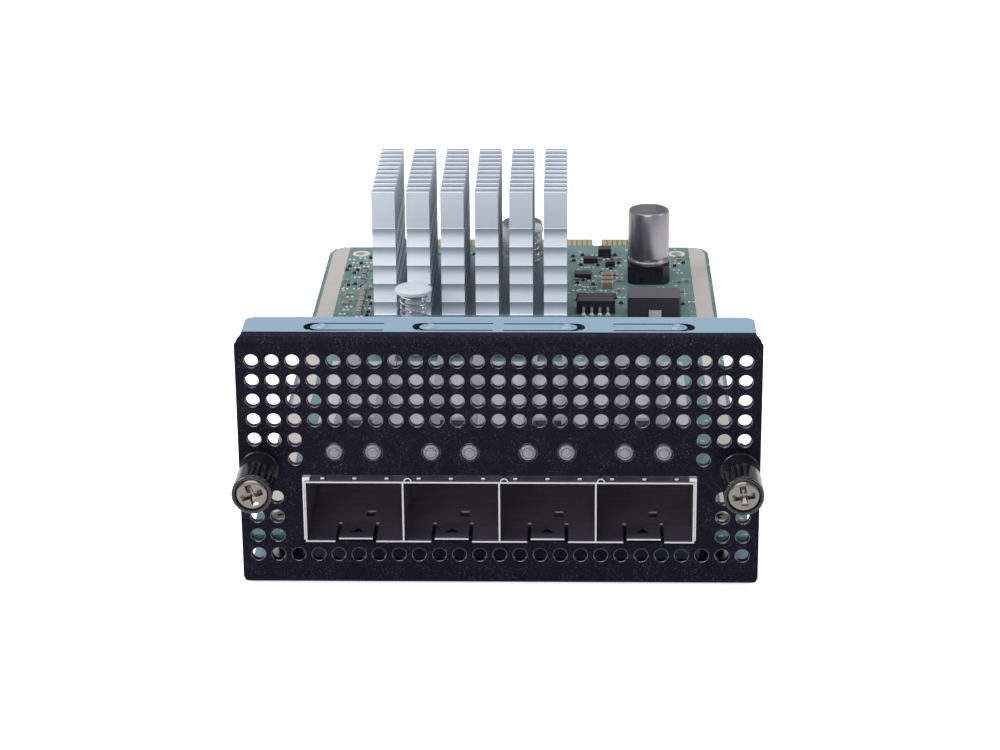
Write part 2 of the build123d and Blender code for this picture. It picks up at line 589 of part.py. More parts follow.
def power_transistors():
    """Small moulded switches of the supply, right of the sink."""
    return [small_part(16.9, 132.0, 2.5, 2.1, 1.8), small_part(14.1, 128.2, 2.8, 1.6, 1.1),
            small_part(17.9, 125.7, 1.8, 1.4, 1.2), small_part(12.6, 119.2, 3.2, 2.2, 1.1)]


def flash_chip():
    """Eight-lead memory package between the ports and the sink."""
    return chamfer(small_part(17.0, 63.0, 5.0, 4.0, 1.6).edges().group_by(Axis.Z)[-1], 0.25)


def clock_crystal():
    """Clock crystal's metal can."""
    return chamfer(small_part(21.0, 72.0, 5.0, 3.2, 1.1).edges().filter_by(Axis.Z), 0.5)


# ---- Captive thumbscrews -------------------------------------------------------------
FERRULE_R, FERRULE_BORE_R, FERRULE_REAR_Y, FLANGE_R = 2.2, 1.95, 1.35, 2.9
SPRING_R, SPRING_WIRE = 1.75, 0.14
KNOB_FLOOR_Y, KNOB_BORE_R, HEAD_T, HEAD_R = -8.2, 2.38, 1.0, 2.35
GROOVE_Y0, GROOVE_Y1, GROOVE_R = 1.5, 2.2, 1.2
GRIP_GROOVES, GRIP_STEP = 15, 18.0


def thumbscrew_knob(side):
    """Ribbed sleeve with one smooth quarter, bored from behind for spring and ferrule."""
    front, rear = SCREW_FRONT_Y, SCREW_FRONT_Y + KNOB_L
    smooth = 140 if side < 0 else 40
    rim = []
    for i in range(GRIP_GROOVES):
        middle = smooth + 180 + (i - (GRIP_GROOVES - 1) / 2) * GRIP_STEP
        rim += [(KNOB_R, middle - 4.5), (KNOB_R - 0.4, middle), (KNOB_R, middle + 4.5)]
    rim += [(KNOB_R, smooth + turn) for turn in (-36, -18, 0, 18, 36)]
    outline = make_face(Polyline(
        *[(r * math.cos(math.radians(a)), r * math.sin(math.radians(a))) for r, a in rim],
        close=True))
    bored = outline - flats(KNOB_BORE_R, SMALL_SIDES)
    web = outline - flats(THREAD_R, SMALL_SIDES)
    recessed = outline - flats(HEAD_R, ROUND_SIDES)
    knob = extrude(facing_front(0, rear, 0) * bored, rear - KNOB_FLOOR_Y)
    knob += extrude(facing_front(0, KNOB_FLOOR_Y, 0) * web, KNOB_FLOOR_Y - front - HEAD_T)
    knob += extrude(facing_front(0, front + HEAD_T, 0) * recessed, HEAD_T)
    return Pos(side * SCREW_X, 0, SCREW_Z) * knob


def thumbscrew_screw(side):
    """Cross-recessed screw: head in the knob, ring groove, plain threaded tip."""
    x, front = side * SCREW_X, SCREW_FRONT_Y
    head = stack([(front, HEAD_R - 0.3), (front + 0.25, HEAD_R), (front + HEAD_T, HEAD_R)],
                 ROUND_SIDES)
    neck = stack([(front + HEAD_T - 0.1, THREAD_R), (GROOVE_Y0, THREAD_R)], SMALL_SIDES)
    core = stack([(GROOVE_Y0 - 0.1, GROOVE_R), (GROOVE_Y1 + 0.1, GROOVE_R)], SMALL_SIDES)
    tip = [(0, GROOVE_Y1), (THREAD_R, GROOVE_Y1), (THREAD_R, SCREW_REAR_Y - 0.5),
           (THREAD_R - 0.5, SCREW_REAR_Y), (0, SCREW_REAR_Y)]
    screw = Pos(x, 0, SCREW_Z) * Rot(-90, 0, 0) * (head + neck + core)
    screw += turned(tip, x, SCREW_Z)
    for turn in (20, 110):
        recess = Rot(0, turn, 0) * Box(2.9, 1.3, 0.6)
        screw -= Pos(x, front, SCREW_Z) * recess
    return screw


def thumbscrew_ferrule(side):
    """Barrel pressed into the bezel, its floor bored for the screw."""
    barrel = tube(-4.8, -0.5, FERRULE_R, FERRULE_BORE_R)
    floor = tube(-0.5, FERRULE_REAR_Y, FERRULE_R, THREAD_R + RUNNING_GAP + 0.02)
    flange = tube(-0.75, 0, FLANGE_R, FERRULE_R - 0.1, ROUND_SIDES)
    return Pos(side * SCREW_X, 0, SCREW_Z) * (barrel + floor + flange)


def thumbscrew_ring(side):
    """Snap ring in the screw's groove: it keeps the screw captive in the ferrule."""
    ring = tube(GROOVE_Y0 + 0.05, GROOVE_Y1 - 0.05, 2.25, GROOVE_R + 0.14)
    return Pos(side * SCREW_X, 0, SCREW_Z) * ring


def thumbscrew_spring(side):
    """Coil inside knob and ferrule that pushes the screw out of its chassis thread."""
    length = -0.5 - KNOB_FLOOR_Y
    spring = Rot(90, 0, 0) * coil(SPRING_R, SPRING_WIRE, 4.5, length)
    return Pos(side * SCREW_X, -0.5, SCREW_Z) * spring


# ---- Write every node ----------------------------------------------------------------
def main():
    save("front_bezel", front_bezel())
    save("board_screws", board_screw(-BOARD_SCREW_X), board_screw(BOARD_SCREW_X))
    save("circuit_board", circuit_board())
    save("guide_strips", *guide_strips())
    save("edge_contacts", *edge_contacts())
    save("cage_top", cage_top())
    save("cage_floor", cage_floor())
    save("cage_spring_collar", cage_spring_collar())
    for number, x in enumerate(DIVIDER_X, 1):
        save(f"cage_divider_{number}", cage_divider(x))
    for number, x in enumerate(PORT_X, 1):
        save(f"port_connector_{number}", port_connector(x))
        save(f"light_pipe_{number}", light_pipe(x))
    save("status_leds", *status_leds())
    save("heat_sink", heat_sink())
    save("thermal_pad", thermal_pad())
    save("controller_chip", controller_chip())
    for name, (x, y) in PUSH_PINS.items():
        save(f"push_pin_{name}", push_pin(x, y))
        save(f"push_pin_spring_{name}", push_pin_spring(x, y))
    for number, (x, y, height) in enumerate(((25.1, 119.0, 13.9), (1.0, 121.9, 10.5)), 1):
        save(f"capacitor_{number}_can", capacitor_can(x, y, 3.9, height))
        save(f"capacitor_{number}_base", capacitor_base(x, y, 7.9))
    save("regulator_chip", regulator_chip())
    save("regulator_leads", *regulator_leads())
    save("power_inductor", power_inductor())
    save("inductor_terminals", *inductor_terminals())
    save("ceramic_capacitors", *ceramic_capacitors())
    save("chip_resistors", *chip_resistors())
    save("power_transistors", *power_transistors())
    save("flash_chip", flash_chip())
    save("clock_crystal", clock_crystal())
    for name, side in (("left", -1), ("right", 1)):
        save(f"{name}_knob", thumbscrew_knob(side))
        save(f"{name}_screw", thumbscrew_screw(side))
        save(f"{name}_ferrule", thumbscrew_ferrule(side))
        save(f"{name}_retaining_ring", thumbscrew_ring(side))
        save(f"{name}_thumbscrew_spring", thumbscrew_spring(side))


main()
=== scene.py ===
import logging
import math
import random
from dataclasses import dataclass
from enum import Enum
from typing import Iterable, Optional, Sequence

import bmesh
import bpy
from mathutils import Matrix, Vector


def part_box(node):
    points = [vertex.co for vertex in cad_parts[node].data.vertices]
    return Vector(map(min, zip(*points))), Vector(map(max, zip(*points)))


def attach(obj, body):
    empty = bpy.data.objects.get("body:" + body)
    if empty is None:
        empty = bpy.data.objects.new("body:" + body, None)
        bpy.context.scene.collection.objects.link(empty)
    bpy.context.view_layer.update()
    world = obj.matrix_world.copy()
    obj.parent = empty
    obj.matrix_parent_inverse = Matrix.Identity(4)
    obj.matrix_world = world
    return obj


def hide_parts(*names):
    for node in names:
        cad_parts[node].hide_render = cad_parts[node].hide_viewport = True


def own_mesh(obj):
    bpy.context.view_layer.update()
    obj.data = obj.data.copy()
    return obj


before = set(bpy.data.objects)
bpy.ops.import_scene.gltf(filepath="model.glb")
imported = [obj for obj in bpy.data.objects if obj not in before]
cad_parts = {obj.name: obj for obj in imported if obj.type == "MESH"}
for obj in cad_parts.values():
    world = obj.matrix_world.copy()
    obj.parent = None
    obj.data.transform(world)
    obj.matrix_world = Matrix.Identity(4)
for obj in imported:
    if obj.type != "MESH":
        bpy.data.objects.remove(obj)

logging.basicConfig(level=logging.INFO, format="%(message)s")
log = logging.getLogger("expansion_module")

Colour = tuple[float, float, float, float]
Point2 = tuple[float, float]
Point3 = tuple[float, float, float]

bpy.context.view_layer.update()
MM = 0.001
FRONT_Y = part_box("front_bezel")[0][1]
# Pieces are drawn in millimetres with the bezel's front face at y = 0, as the CAD source is.
PLACE = Matrix.Translation((0.0, FRONT_Y, 0.0)) @ Matrix.Scale(MM, 4)


def drawn_box(node: str) -> tuple[Vector, Vector]:
    """Corners of a CAD node in the drawing's millimetres.

    Args:
        node: name of the CAD node.

    Returns:
        Its lowest and highest corners.
    """
    back = PLACE.inverted()
    low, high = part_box(node)
    return back @ Vector(low), back @ Vector(high)


def srgb(red: int, green: int, blue: int) -> Colour:
    """Turns a picture colour of 0 to 255 into the linear colour a shader takes."""
    def linear(value: int) -> float:
        share = value / 255.0
        return share / 12.92 if share <= 0.04045 else ((share + 0.055) / 1.055) ** 2.4
    return (linear(red), linear(green), linear(blue), 1.0)


def dimmed(colour: Colour, share: float) -> Colour:
    """A colour with its light scaled by a share, up to white."""
    return tuple(min(1.0, part * share) for part in colour[:3]) + (1.0,)


# Sizes shared by several pieces, in the drawing's millimetres.
BEZEL_WIDTH = 76.8
PORT_COUNT = 4
PORT_PITCH = 14.25
PORT_X = [(index - (PORT_COUNT - 1) / 2) * PORT_PITCH for index in range(PORT_COUNT)]
LIGHT_HEIGHT = 21.32
LIGHT_OFFSET = 2.85         # of each light from the middle of its port
SCREW_HEIGHT = 18.7
SCREW_INSET = 3.0           # of a thumbscrew's axis from the bezel's side
BOARD_SCREWS = ((-32.5, 6.4), (32.5, 6.4))
SINK_BASE = 2.8
CAGE_SHEET = 0.25
OUTSIDE_ROOF_Z = drawn_box("cage_divider_1")[1].z + CAGE_SHEET
FLANK_X = drawn_box("cage_floor")[1].x + CAGE_SHEET + 0.02
CAGE_REAR_Y = drawn_box("cage_floor")[1].y

SMOOTH_ANGLE = 32.0         # edges sharper than this many degrees stay sharp
FINE_RELIEF = 0.00003       # depth of a finish's fine structure, in metres


# Finishes

class Pattern(Enum):
    """The fine structure a finish varies its colour, roughness and relief by."""

    GRAIN = "even moulded or cast grain"
    BRUSHED_X = "fine lines along the module's width"
    TURNED = "fine rings round a turned piece"


class ShaderTree:
    """Builds one material's nodes round a Principled shader."""

    def __init__(self, name: str) -> None:
        """Makes the material with a Principled shader and object coordinates.

        Args:
            name: the material's name.
        """
        self.material = bpy.data.materials.new(name)
        self.material.use_nodes = True
        self.nodes = self.material.node_tree.nodes
        self.links = self.material.node_tree.links
        self.nodes.clear()
        self.shader = self.nodes.new("ShaderNodeBsdfPrincipled")
        output = self.nodes.new("ShaderNodeOutputMaterial")
        self.links.new(self.shader.outputs["BSDF"], output.inputs["Surface"])
        self.where = self.nodes.new("ShaderNodeTexCoord").outputs["Object"]

    def set(self, **values: float) -> None:
        """Sets the shader's own sockets, named with underscores for spaces."""
        for name, value in values.items():
            self.shader.inputs[name.replace("_", " ")].default_value = value

    def stretched(self, scale: Point3) -> bpy.types.NodeSocket:
        """Object coordinates scaled by axis, for a pattern with a direction."""
        node = self.nodes.new("ShaderNodeMapping")
        node.inputs["Scale"].default_value = scale
        self.links.new(self.where, node.inputs["Vector"])
        return node.outputs["Vector"]

    def noise(self, scale: float, detail: float = 3.0, rough: float = 0.55,
              at: Optional[bpy.types.NodeSocket] = None) -> bpy.types.NodeSocket:
        """A noise pattern from 0 to 1.

        Args:
            scale: features per metre.
            detail: octaves of finer noise.
            rough: share each finer octave keeps.
            at: coordinates to read, or None for plain object coordinates.

        Returns:
            The noise value's socket.
        """
        node = self.nodes.new("ShaderNodeTexNoise")
        node.inputs["Scale"].default_value = scale
        node.inputs["Detail"].default_value = detail
        node.inputs["Roughness"].default_value = rough
        self.links.new(at or self.where, node.inputs["Vector"])
        return node.outputs["Fac"]

    def cells(self, scale: float, feature: str = "F1",
              at: Optional[bpy.types.NodeSocket] = None) -> bpy.types.NodeSocket:
        """Distance of a cell pattern, with a number of cells per metre."""
        node = self.nodes.new("ShaderNodeTexVoronoi")
        node.feature = feature
        node.inputs["Scale"].default_value = scale
        self.links.new(at or self.where, node.inputs["Vector"])
        return node.outputs["Distance"]

    def math(self, operation: str, first: object, second: object = 0.5) -> bpy.types.NodeSocket:
        """One maths step on sockets or numbers.

        Args:
            operation: Blender's name of the operation.
            first: a socket or a number.
            second: a socket or a number.

        Returns:
            The result's socket.
        """
        node = self.nodes.new("ShaderNodeMath")
        node.operation = operation
        for index, value in enumerate((first, second)):
            if isinstance(value, bpy.types.NodeSocket):
                self.links.new(value, node.inputs[index])
            else:
                node.inputs[index].default_value = value
        return node.outputs["Value"]

    def steps(self, value: bpy.types.NodeSocket, low: float, high: float) -> bpy.types.NodeSocket:
        """Rises from 0 to 1 as a value goes from low to high, and holds at both ends."""
        node = self.nodes.new("ShaderNodeMapRange")
        node.clamp = True
        node.inputs["From Min"].default_value = low
        node.inputs["From Max"].default_value = high
        self.links.new(value, node.inputs["Value"])
        return node.outputs["Result"]

    def mix(self, share: bpy.types.NodeSocket, low: object, high: object) -> bpy.types.NodeSocket:
        """Mixes two colours, each a socket or a colour, by a share from 0 to 1."""
        node = self.nodes.new("ShaderNodeMix")
        node.data_type = "RGBA"
        self.links.new(share, node.inputs["Factor"])
        for name, value in (("A", low), ("B", high)):
            socket = [s for s in node.inputs if s.name == name and s.type == "RGBA"][0]
            if isinstance(value, bpy.types.NodeSocket):
                self.links.new(value, socket)
            else:
                socket.default_value = value
        return [s for s in node.outputs if s.type == "RGBA"][0]

    def axis(self, name: str) -> bpy.types.NodeSocket:
        """One object coordinate, in metres."""
        node = self.nodes.new("ShaderNodeSeparateXYZ")
        self.links.new(self.where, node.inputs[0])
        return node.outputs[name]

    def facing(self, name: str) -> bpy.types.NodeSocket:
        """One axis of the surface's normal in the module's frame."""
        geometry = self.nodes.new("ShaderNodeNewGeometry")
        node = self.nodes.new("ShaderNodeSeparateXYZ")
        self.links.new(geometry.outputs["Normal"], node.inputs[0])
        return node.outputs[name]

    def colour(self, socket: bpy.types.NodeSocket) -> None:
        """Feeds the base colour."""
        self.links.new(socket, self.shader.inputs["Base Color"])

    def roughness(self, pattern: bpy.types.NodeSocket, low: float, high: float) -> None:
        """Varies roughness between two values by a pattern."""
        node = self.nodes.new("ShaderNodeMapRange")
        node.inputs["To Min"].default_value = low
        node.inputs["To Max"].default_value = high
        self.links.new(pattern, node.inputs["Value"])
        self.links.new(node.outputs["Result"], self.shader.inputs["Roughness"])

    def relief(self, pattern: bpy.types.NodeSocket, strength: float, depth: float) -> None:
        """Raises the surface by a pattern.

        Args:
            pattern: the height pattern, 0 to 1.
            strength: how far the bump shows.
            depth: the height of 1, in metres.
        """
        node = self.nodes.new("ShaderNodeBump")
        node.inputs["Strength"].default_value = strength
        node.inputs["Distance"].default_value = depth
        self.links.new(pattern, node.inputs["Height"])
        self.links.new(node.outputs["Normal"], self.shader.inputs["Normal"])


@dataclass(frozen=True)
class Finish:
    """A plain metal, plastic or rubber surface with fine procedural structure.

    Attributes:
        name: the material's name.
        slot: the record's material slot it stands for; not used.
        colour: mean colour.
        metallic: 0 for plastic, 1 for metal.
        roughness: mean roughness.
        pattern: direction of the fine structure.
        fineness: features per metre.
        variation: how far colour and roughness wander, 0 to 1.
        relief: bump strength.
        coat: weight of a clear coat over it.
    """

    name: str
    slot: str
    colour: Colour
    metallic: float = 0.0
    roughness: float = 0.5
    pattern: Pattern = Pattern.GRAIN
    fineness: float = 2500.0
    variation: float = 0.12
    relief: float = 0.15
    coat: float = 0.0

    def material(self) -> bpy.types.Material:
        """Returns the finish's material, built once."""
        known = bpy.data.materials.get(self.name)
        if known is not None:
            return known
        tree = ShaderTree(self.name)
        tree.set(Metallic=self.metallic, Coat_Weight=self.coat)
        self.dress(tree)
        return tree.material

    def structure(self, tree: ShaderTree) -> bpy.types.NodeSocket:
        """The finish's fine pattern, from 0 to 1."""
        stretch = {
            Pattern.BRUSHED_X: (0.04, 1.0, 1.0),
            Pattern.TURNED: (1.0, 0.12, 1.0),
        }.get(self.pattern)
        at = tree.stretched(stretch) if stretch else None
        return tree.noise(self.fineness, 4.0, at=at)

    def dress(self, tree: ShaderTree) -> None:
        """Feeds colour, roughness and relief from the fine pattern and a slow cloud."""
        fine = self.structure(tree)
        cloud = tree.noise(70.0, 2.0)
        dark = dimmed(self.colour, 1.0 - self.variation)
        light = dimmed(self.colour, 1.0 + self.variation)
        both = tree.math("MULTIPLY_ADD", fine, 0.5)
        tree.links.new(tree.math("MULTIPLY", cloud, 0.5), both.node.inputs[2])
        tree.colour(tree.mix(tree.steps(both, 0.3, 0.7), dark, light))
        spread = self.variation * 0.9
        tree.roughness(fine, max(0.04, self.roughness - spread), min(1.0, self.roughness + spread))
        tree.relief(fine, self.relief, FINE_RELIEF)


@dataclass(frozen=True)
class PowderCoat(Finish):
    """Near-black textured paint with fine pale flecks.

    Attributes:
        fleck: colour of the flecks.
        edge: colour that the punched holes' mouths are rubbed to.
        worn: how bare and glossy their mouths are, 0 to 1.
    """

    fleck: Colour = srgb(128, 126, 158)
    edge: Colour = srgb(108, 106, 120)
    worn: float = 0.0

    def dress(self, tree: ShaderTree) -> None:
        """Scatters flecks over orange-peel paint; rubbed hole mouths are barer and glossier."""
        tree.set(Specular_IOR_Level=0.12, Specular_Tint=(0.82, 0.78, 1.0, 1.0))
        peel = tree.noise(1900.0, 3.0, 0.6)
        specks = tree.noise(4600.0, 2.5, 0.6)
        patches = tree.noise(300.0, 3.0, 0.6)
        shown = tree.math("MULTIPLY", tree.steps(specks, 0.57, 0.66),
                          tree.steps(patches, 0.34, 0.62))
        tint = tree.mix(tree.noise(240.0, 2.0), self.colour, srgb(11, 9, 24))
        paint = tree.mix(tree.math("MULTIPLY", shown, 0.19), tint, self.fleck)
        rough = tree.math("ADD", tree.math("MULTIPLY", peel, 0.24), self.roughness - 0.12)
        if self.worn > 0:
            tilt = tree.math("ABSOLUTE", tree.facing("Y"))
            mouth = tree.math("MULTIPLY", tree.math("GREATER_THAN", tilt, 0.12),
                              tree.math("LESS_THAN", tilt, 0.93))
            bare = tree.math("MULTIPLY", mouth, self.worn)
            paint = tree.mix(bare, paint, self.edge)
            rough = tree.math("SUBTRACT", rough, tree.math("MULTIPLY", bare, 0.3))
            tree.links.new(bare, tree.shader.inputs["Metallic"])
        tree.colour(paint)
        tree.links.new(rough, tree.shader.inputs["Roughness"])
        tree.relief(tree.math("ADD", peel, tree.math("MULTIPLY", specks, 0.8)), 0.55, 0.00006)


@dataclass(frozen=True)
class SolderMask(Finish):
    """Green mask over copper: pours and gaps, runs of track and small vias.

    Attributes:
        shade_under_cage: painted shade on the board under the cage.
        edge: colour of the bare laminate round the rim.
    """

    shade_under_cage: Colour = srgb(14, 14, 17)
    edge: Colour = srgb(72, 142, 112)

    def dress(self, tree: ShaderTree) -> None:
        """Draws tracks and vias on the two faces and bare laminate on the edges, and paints shade
        on the board under the cage.
        """
        across = tree.stretched((1.0, 0.16, 1.0))
        along = tree.stretched((0.16, 1.0, 1.0))
        runs = tree.steps(tree.cells(620.0, "DISTANCE_TO_EDGE", across), 0.05, 0.09)
        other = tree.steps(tree.cells(540.0, "DISTANCE_TO_EDGE", along), 0.05, 0.09)
        copper = tree.math("MULTIPLY", runs, other)
        region = tree.steps(tree.noise(60.0, 1.0), 0.46, 0.54)
        poured = tree.math("MAXIMUM", copper, region)
        vias = tree.math("LESS_THAN", tree.cells(420.0), 0.14)
        flat = tree.math("GREATER_THAN", tree.math("ABSOLUTE", tree.facing("Z")), 0.7)
        mask = tree.mix(poured, dimmed(self.colour, 0.72), self.colour)
        mask = tree.mix(vias, mask, srgb(168, 184, 172))
        # Painted shade: the board under the cage takes a near-black tone, standing in for the
        # shadow the cage casts there.
        inside = tree.math("LESS_THAN", tree.math("ABSOLUTE", tree.axis("X")), (FLANK_X - 0.5) * MM)
        ahead = tree.math("LESS_THAN", tree.axis("Y"), CAGE_REAR_Y * MM + FRONT_Y)
        inside = tree.math("MULTIPLY", inside, ahead)
        inside = tree.math("MULTIPLY", inside, tree.math("GREATER_THAN", tree.facing("Z"), -0.5))
        tree.colour(tree.mix(inside, tree.mix(flat, self.edge, mask), self.shade_under_cage))
        tree.roughness(tree.noise(900.0), self.roughness - 0.08, self.roughness + 0.1)
        tree.relief(poured, 0.25, FINE_RELIEF)


@dataclass(frozen=True)
class FoldSheet(Finish):
    """Bare sheet whose sideways walls, its slits' walls among them, are coloured dark as painted
    shade.

    Attributes:
        cut: painted shade on the walls of the slits.
    """

    cut: Colour = srgb(22, 30, 48)

    def dress(self, tree: ShaderTree) -> None:
        """Fine lines on the flat sheet, painted shade on the walls of its slits."""
        fine = self.structure(tree)
        # Painted shade: walls that face sideways, the slits' walls among them, take a dark tone.
        wall = tree.math("LESS_THAN", tree.math("ABSOLUTE", tree.facing("Z")), 0.25)
        light = tree.mix(fine, dimmed(self.colour, 0.94), self.colour)
        tree.colour(tree.mix(wall, light, self.cut))
        tree.roughness(fine, self.roughness - 0.05, self.roughness + 0.07)
        tree.relief(fine, self.relief, FINE_RELIEF)


@dataclass(frozen=True)
class CageSheet(Finish):
    """Thin stamped sheet: bright cut edges at the mouth, warm grey outside; inside, painted shade
    near the mouth and painted light toward the rear.

    Attributes:
        inside: painted shade inside the cage, near its mouth.
        deep: painted light inside the cage, toward the rear, where little light reaches.
        edge: colour of the cut edges that look forward.
    """

    inside: Colour = srgb(78, 71, 86)
    deep: Colour = srgb(226, 214, 232)
    edge: Colour = srgb(196, 196, 198)

    def dress(self, tree: ShaderTree) -> None:
        """Chooses among the tones by the way each face looks, and paints shade and light by depth.
        """
        fine = tree.noise(self.fineness, 4.0, at=tree.stretched((0.05, 1.0, 1.0)))
        forward = tree.math("LESS_THAN", tree.facing("Y"), -0.7)
        roof = tree.math("GREATER_THAN", tree.axis("Z"), (OUTSIDE_ROOF_Z - 0.05) * MM)
        flank = tree.math("GREATER_THAN", tree.math("ABSOLUTE", tree.axis("X")),
                          (FLANK_X - 0.05) * MM)
        outside = tree.math("MAXIMUM", roof, flank)
        # Painted shade: outside faces just behind the bezel take the dark inside tone, standing in
        # for the bezel's shadow.
        behind = tree.steps(tree.axis("Y"), FRONT_Y + 1.5 * MM, FRONT_Y + 4.0 * MM)
        outside = tree.math("MULTIPLY", outside, behind)
        # Painted shade and light: the inside runs from dark at the mouth to pale toward the rear,
        # to make up for light that can't reach deep in.
        depth = tree.steps(tree.axis("Y"), FRONT_Y + 1.0 * MM, FRONT_Y + 34.0 * MM)
        inner = tree.mix(depth, self.inside, self.deep)
        inner = tree.mix(tree.math("MULTIPLY", fine, 0.5), inner, srgb(44, 40, 50))
        base = tree.mix(outside, inner, self.colour)
        tree.colour(tree.mix(forward, base, self.edge))
        tree.roughness(fine, self.roughness - 0.08, self.roughness + 0.12)
        tree.relief(fine, 0.2, FINE_RELIEF)


@dataclass(frozen=True)
class Package(Finish):
    """A moulded component body whose top is matter and paler than its sides.

    Attributes:
        top: colour of the upward face.
    """

    top: Colour = srgb(62, 54, 66)

    def dress(self, tree: ShaderTree) -> None:
        """Chooses between the two tones by the way each face looks."""
        fine = self.structure(tree)
        upward = tree.steps(tree.facing("Z"), 0.4, 0.85)
        tone = tree.mix(upward, self.colour, self.top)
        tree.colour(tree.mix(tree.math("MULTIPLY", fine, 0.3), tone, srgb(40, 35, 44)))
        tree.roughness(tree.math("MAXIMUM", fine, upward), self.roughness - 0.1,
                       self.roughness + 0.12)
        tree.relief(fine, self.relief, FINE_RELIEF)


@dataclass(frozen=True)
class Extrusion(Finish):
    """Pale extruded aluminium with painted shade on its cheeks, the fins' tops and the undersides
    of its coves; the cheeks' tone is partly their sawn finish.

    Attributes:
        sawn: colour of the cheeks, partly the finish the saw left and partly painted shade of the
            gaps between pins.
        top: colour of the fins' tops, darker as painted shade.
        under: painted shade where a cove turns under the ridge above it.
    """

    sawn: Colour = srgb(116, 120, 142)
    top: Colour = srgb(112, 122, 138)
    under: Colour = srgb(164, 177, 190)

    def dress(self, tree: ShaderTree) -> None:
        """Paints shade by the way each face looks, among three tones, and draws fine lines."""
        fine = tree.noise(self.fineness, 4.0, at=tree.stretched((0.04, 1.0, 1.0)))
        cuts = tree.noise(1500.0, 3.0, at=tree.stretched((1.0, 0.06, 0.06)))
        # Cheeks take the darker sawn tone: partly their sawn finish, partly painted shade of the
        # gaps between pins.
        cheek = tree.math("GREATER_THAN", tree.math("ABSOLUTE", tree.facing("X")), 0.7)
        upward = tree.math("GREATER_THAN", tree.facing("Z"), 0.8)
        pale = tree.mix(fine, dimmed(self.colour, 0.92), self.colour)
        # Painted shade: faces that turn down under a ridge take the darker under tone.
        pale = tree.mix(tree.steps(tree.facing("Z"), 0.08, -0.26), pale, self.under)
        # Painted shade: the fins' tops take a darker tone, crossed by fine lines.
        shaded_tops_with_lines = tree.mix(tree.steps(cuts, 0.35, 0.65), dimmed(self.top, 0.75), self.top)
        tree.colour(tree.mix(cheek, tree.mix(upward, pale, shaded_tops_with_lines), self.sawn))
        tree.roughness(fine, self.roughness - 0.06, self.roughness + 0.08)
        tree.relief(fine, self.relief, FINE_RELIEF)


@dataclass(frozen=True)
class ClearMoulding(Finish):
    """Clear acrylic, a little milky, with a very faint ripple."""

    def dress(self, tree: ShaderTree) -> None:
        """Lets light through and ripples the surface slightly."""
        tree.set(Transmission_Weight=0.3, IOR=1.49, Coat_Weight=1.0, Coat_Roughness=0.06)
        fine = tree.noise(600.0, 1.0)
        tree.colour(tree.mix(fine, self.colour, srgb(150, 150, 164)))
        tree.roughness(fine, self.roughness - 0.03, self.roughness + 0.04)
        tree.relief(fine, 0.03, FINE_RELIEF)


BLACK_PAINT = PowderCoat("black_speckled_paint", "black_powder_coat", srgb(6, 4, 14),
                         roughness=0.42)
PUNCHED_PAINT = PowderCoat("black_paint_with_rubbed_holes", "black_powder_coat", srgb(6, 4, 14),
                           roughness=0.42, worn=1.0)
BARE_FOLD = FoldSheet("bare_zinc_fold", "black_powder_coat", srgb(133, 158, 177), 0.15, 0.42,
                      Pattern.BRUSHED_X, 1400.0, 0.06, 0.06)
BRIGHT_SCREW = Finish("bright_plated_screw", "zinc_plate", srgb(138, 131, 123), 1.0, 0.2,
                      Pattern.GRAIN, 900.0, 0.16, 0.5)
CAGE_STEEL = CageSheet("stamped_cage_sheet", "stainless_sheet", srgb(180, 179, 188), 0.25, 0.46)
COLLAR_METAL = Finish("tinned_spring_collar", "copper_alloy", srgb(214, 212, 206), 0.85, 0.3)
SPRING_WIRE = Finish("wound_spring_wire", "spring_steel", srgb(216, 216, 218), 1.0, 0.1,
                     variation=0.04)
BOARD_MASK = SolderMask("green_solder_mask", "solder_mask_green", srgb(91, 124, 122),
                        roughness=0.4)
TINNED_RAIL = Finish("tinned_guide_rail", "plated_copper", srgb(192, 184, 178), 0.3, 0.45,
                     Pattern.BRUSHED_X, 900.0, 0.06, 0.1)
GOLD = Finish("gold_fingers", "gold_plate", srgb(204, 178, 122), 0.6, 0.34)
EXTRUDED = Extrusion("pale_extruded_aluminium", "anodised_aluminium", srgb(228, 236, 244), 0.2,
                     0.36, Pattern.BRUSHED_X, 1700.0, 0.05, 0.08)
BLACK_MOULDING = Finish("glossy_black_moulding", "black_moulding", srgb(20, 17, 26), 0.0, 0.24)
HOST_CONNECTOR = Finish("dark_connector_body", "black_moulding", srgb(58, 52, 64), 0.0, 0.45)
CHIP_EPOXY = Package("moulded_package", "chip_epoxy", srgb(24, 20, 27), 0.0, 0.42,
                     top=srgb(62, 54, 66))
PAD_GREY = Finish("soft_gap_pad", "grey_pad", srgb(128, 132, 138), 0.0, 0.8)
NYLON = Finish("moulded_white_nylon", "white_nylon", srgb(184, 191, 200), 0.0, 0.45,
               variation=0.04)
CLEAR = ClearMoulding("clear_light_guide", "clear_acrylic", srgb(128, 127, 140),
                      roughness=0.14)
LAMP = Finish("moulded_lamp_body", "lamp_package", srgb(226, 224, 196), 0.0, 0.35)
CAN_METAL = Finish("drawn_can", "can_aluminium", srgb(164, 160, 163), 1.0, 0.31,
                   Pattern.TURNED, 900.0, 0.03, 0.02)
CAN_MARK = Finish("can_polarity_mark", "can_aluminium", srgb(84, 78, 96), 0.2, 0.45)
CHOKE = Package("pressed_powder_choke", "choke_moulding", srgb(48, 42, 50), 0.0, 0.46,
                Pattern.GRAIN, 3200.0, 0.2, 0.3, top=srgb(94, 86, 98))
TAN_CERAMIC = Finish("fired_tan_ceramic", "tan_ceramic", srgb(142, 122, 100), 0.0, 0.42)
TINNED = Finish("hot_tinned_lead", "tinned_lead", srgb(206, 205, 206), 0.8, 0.22)
SOLDER = Finish("solder_fillet", "tinned_lead", srgb(206, 202, 196), 0.15, 0.3,
                variation=0.06)
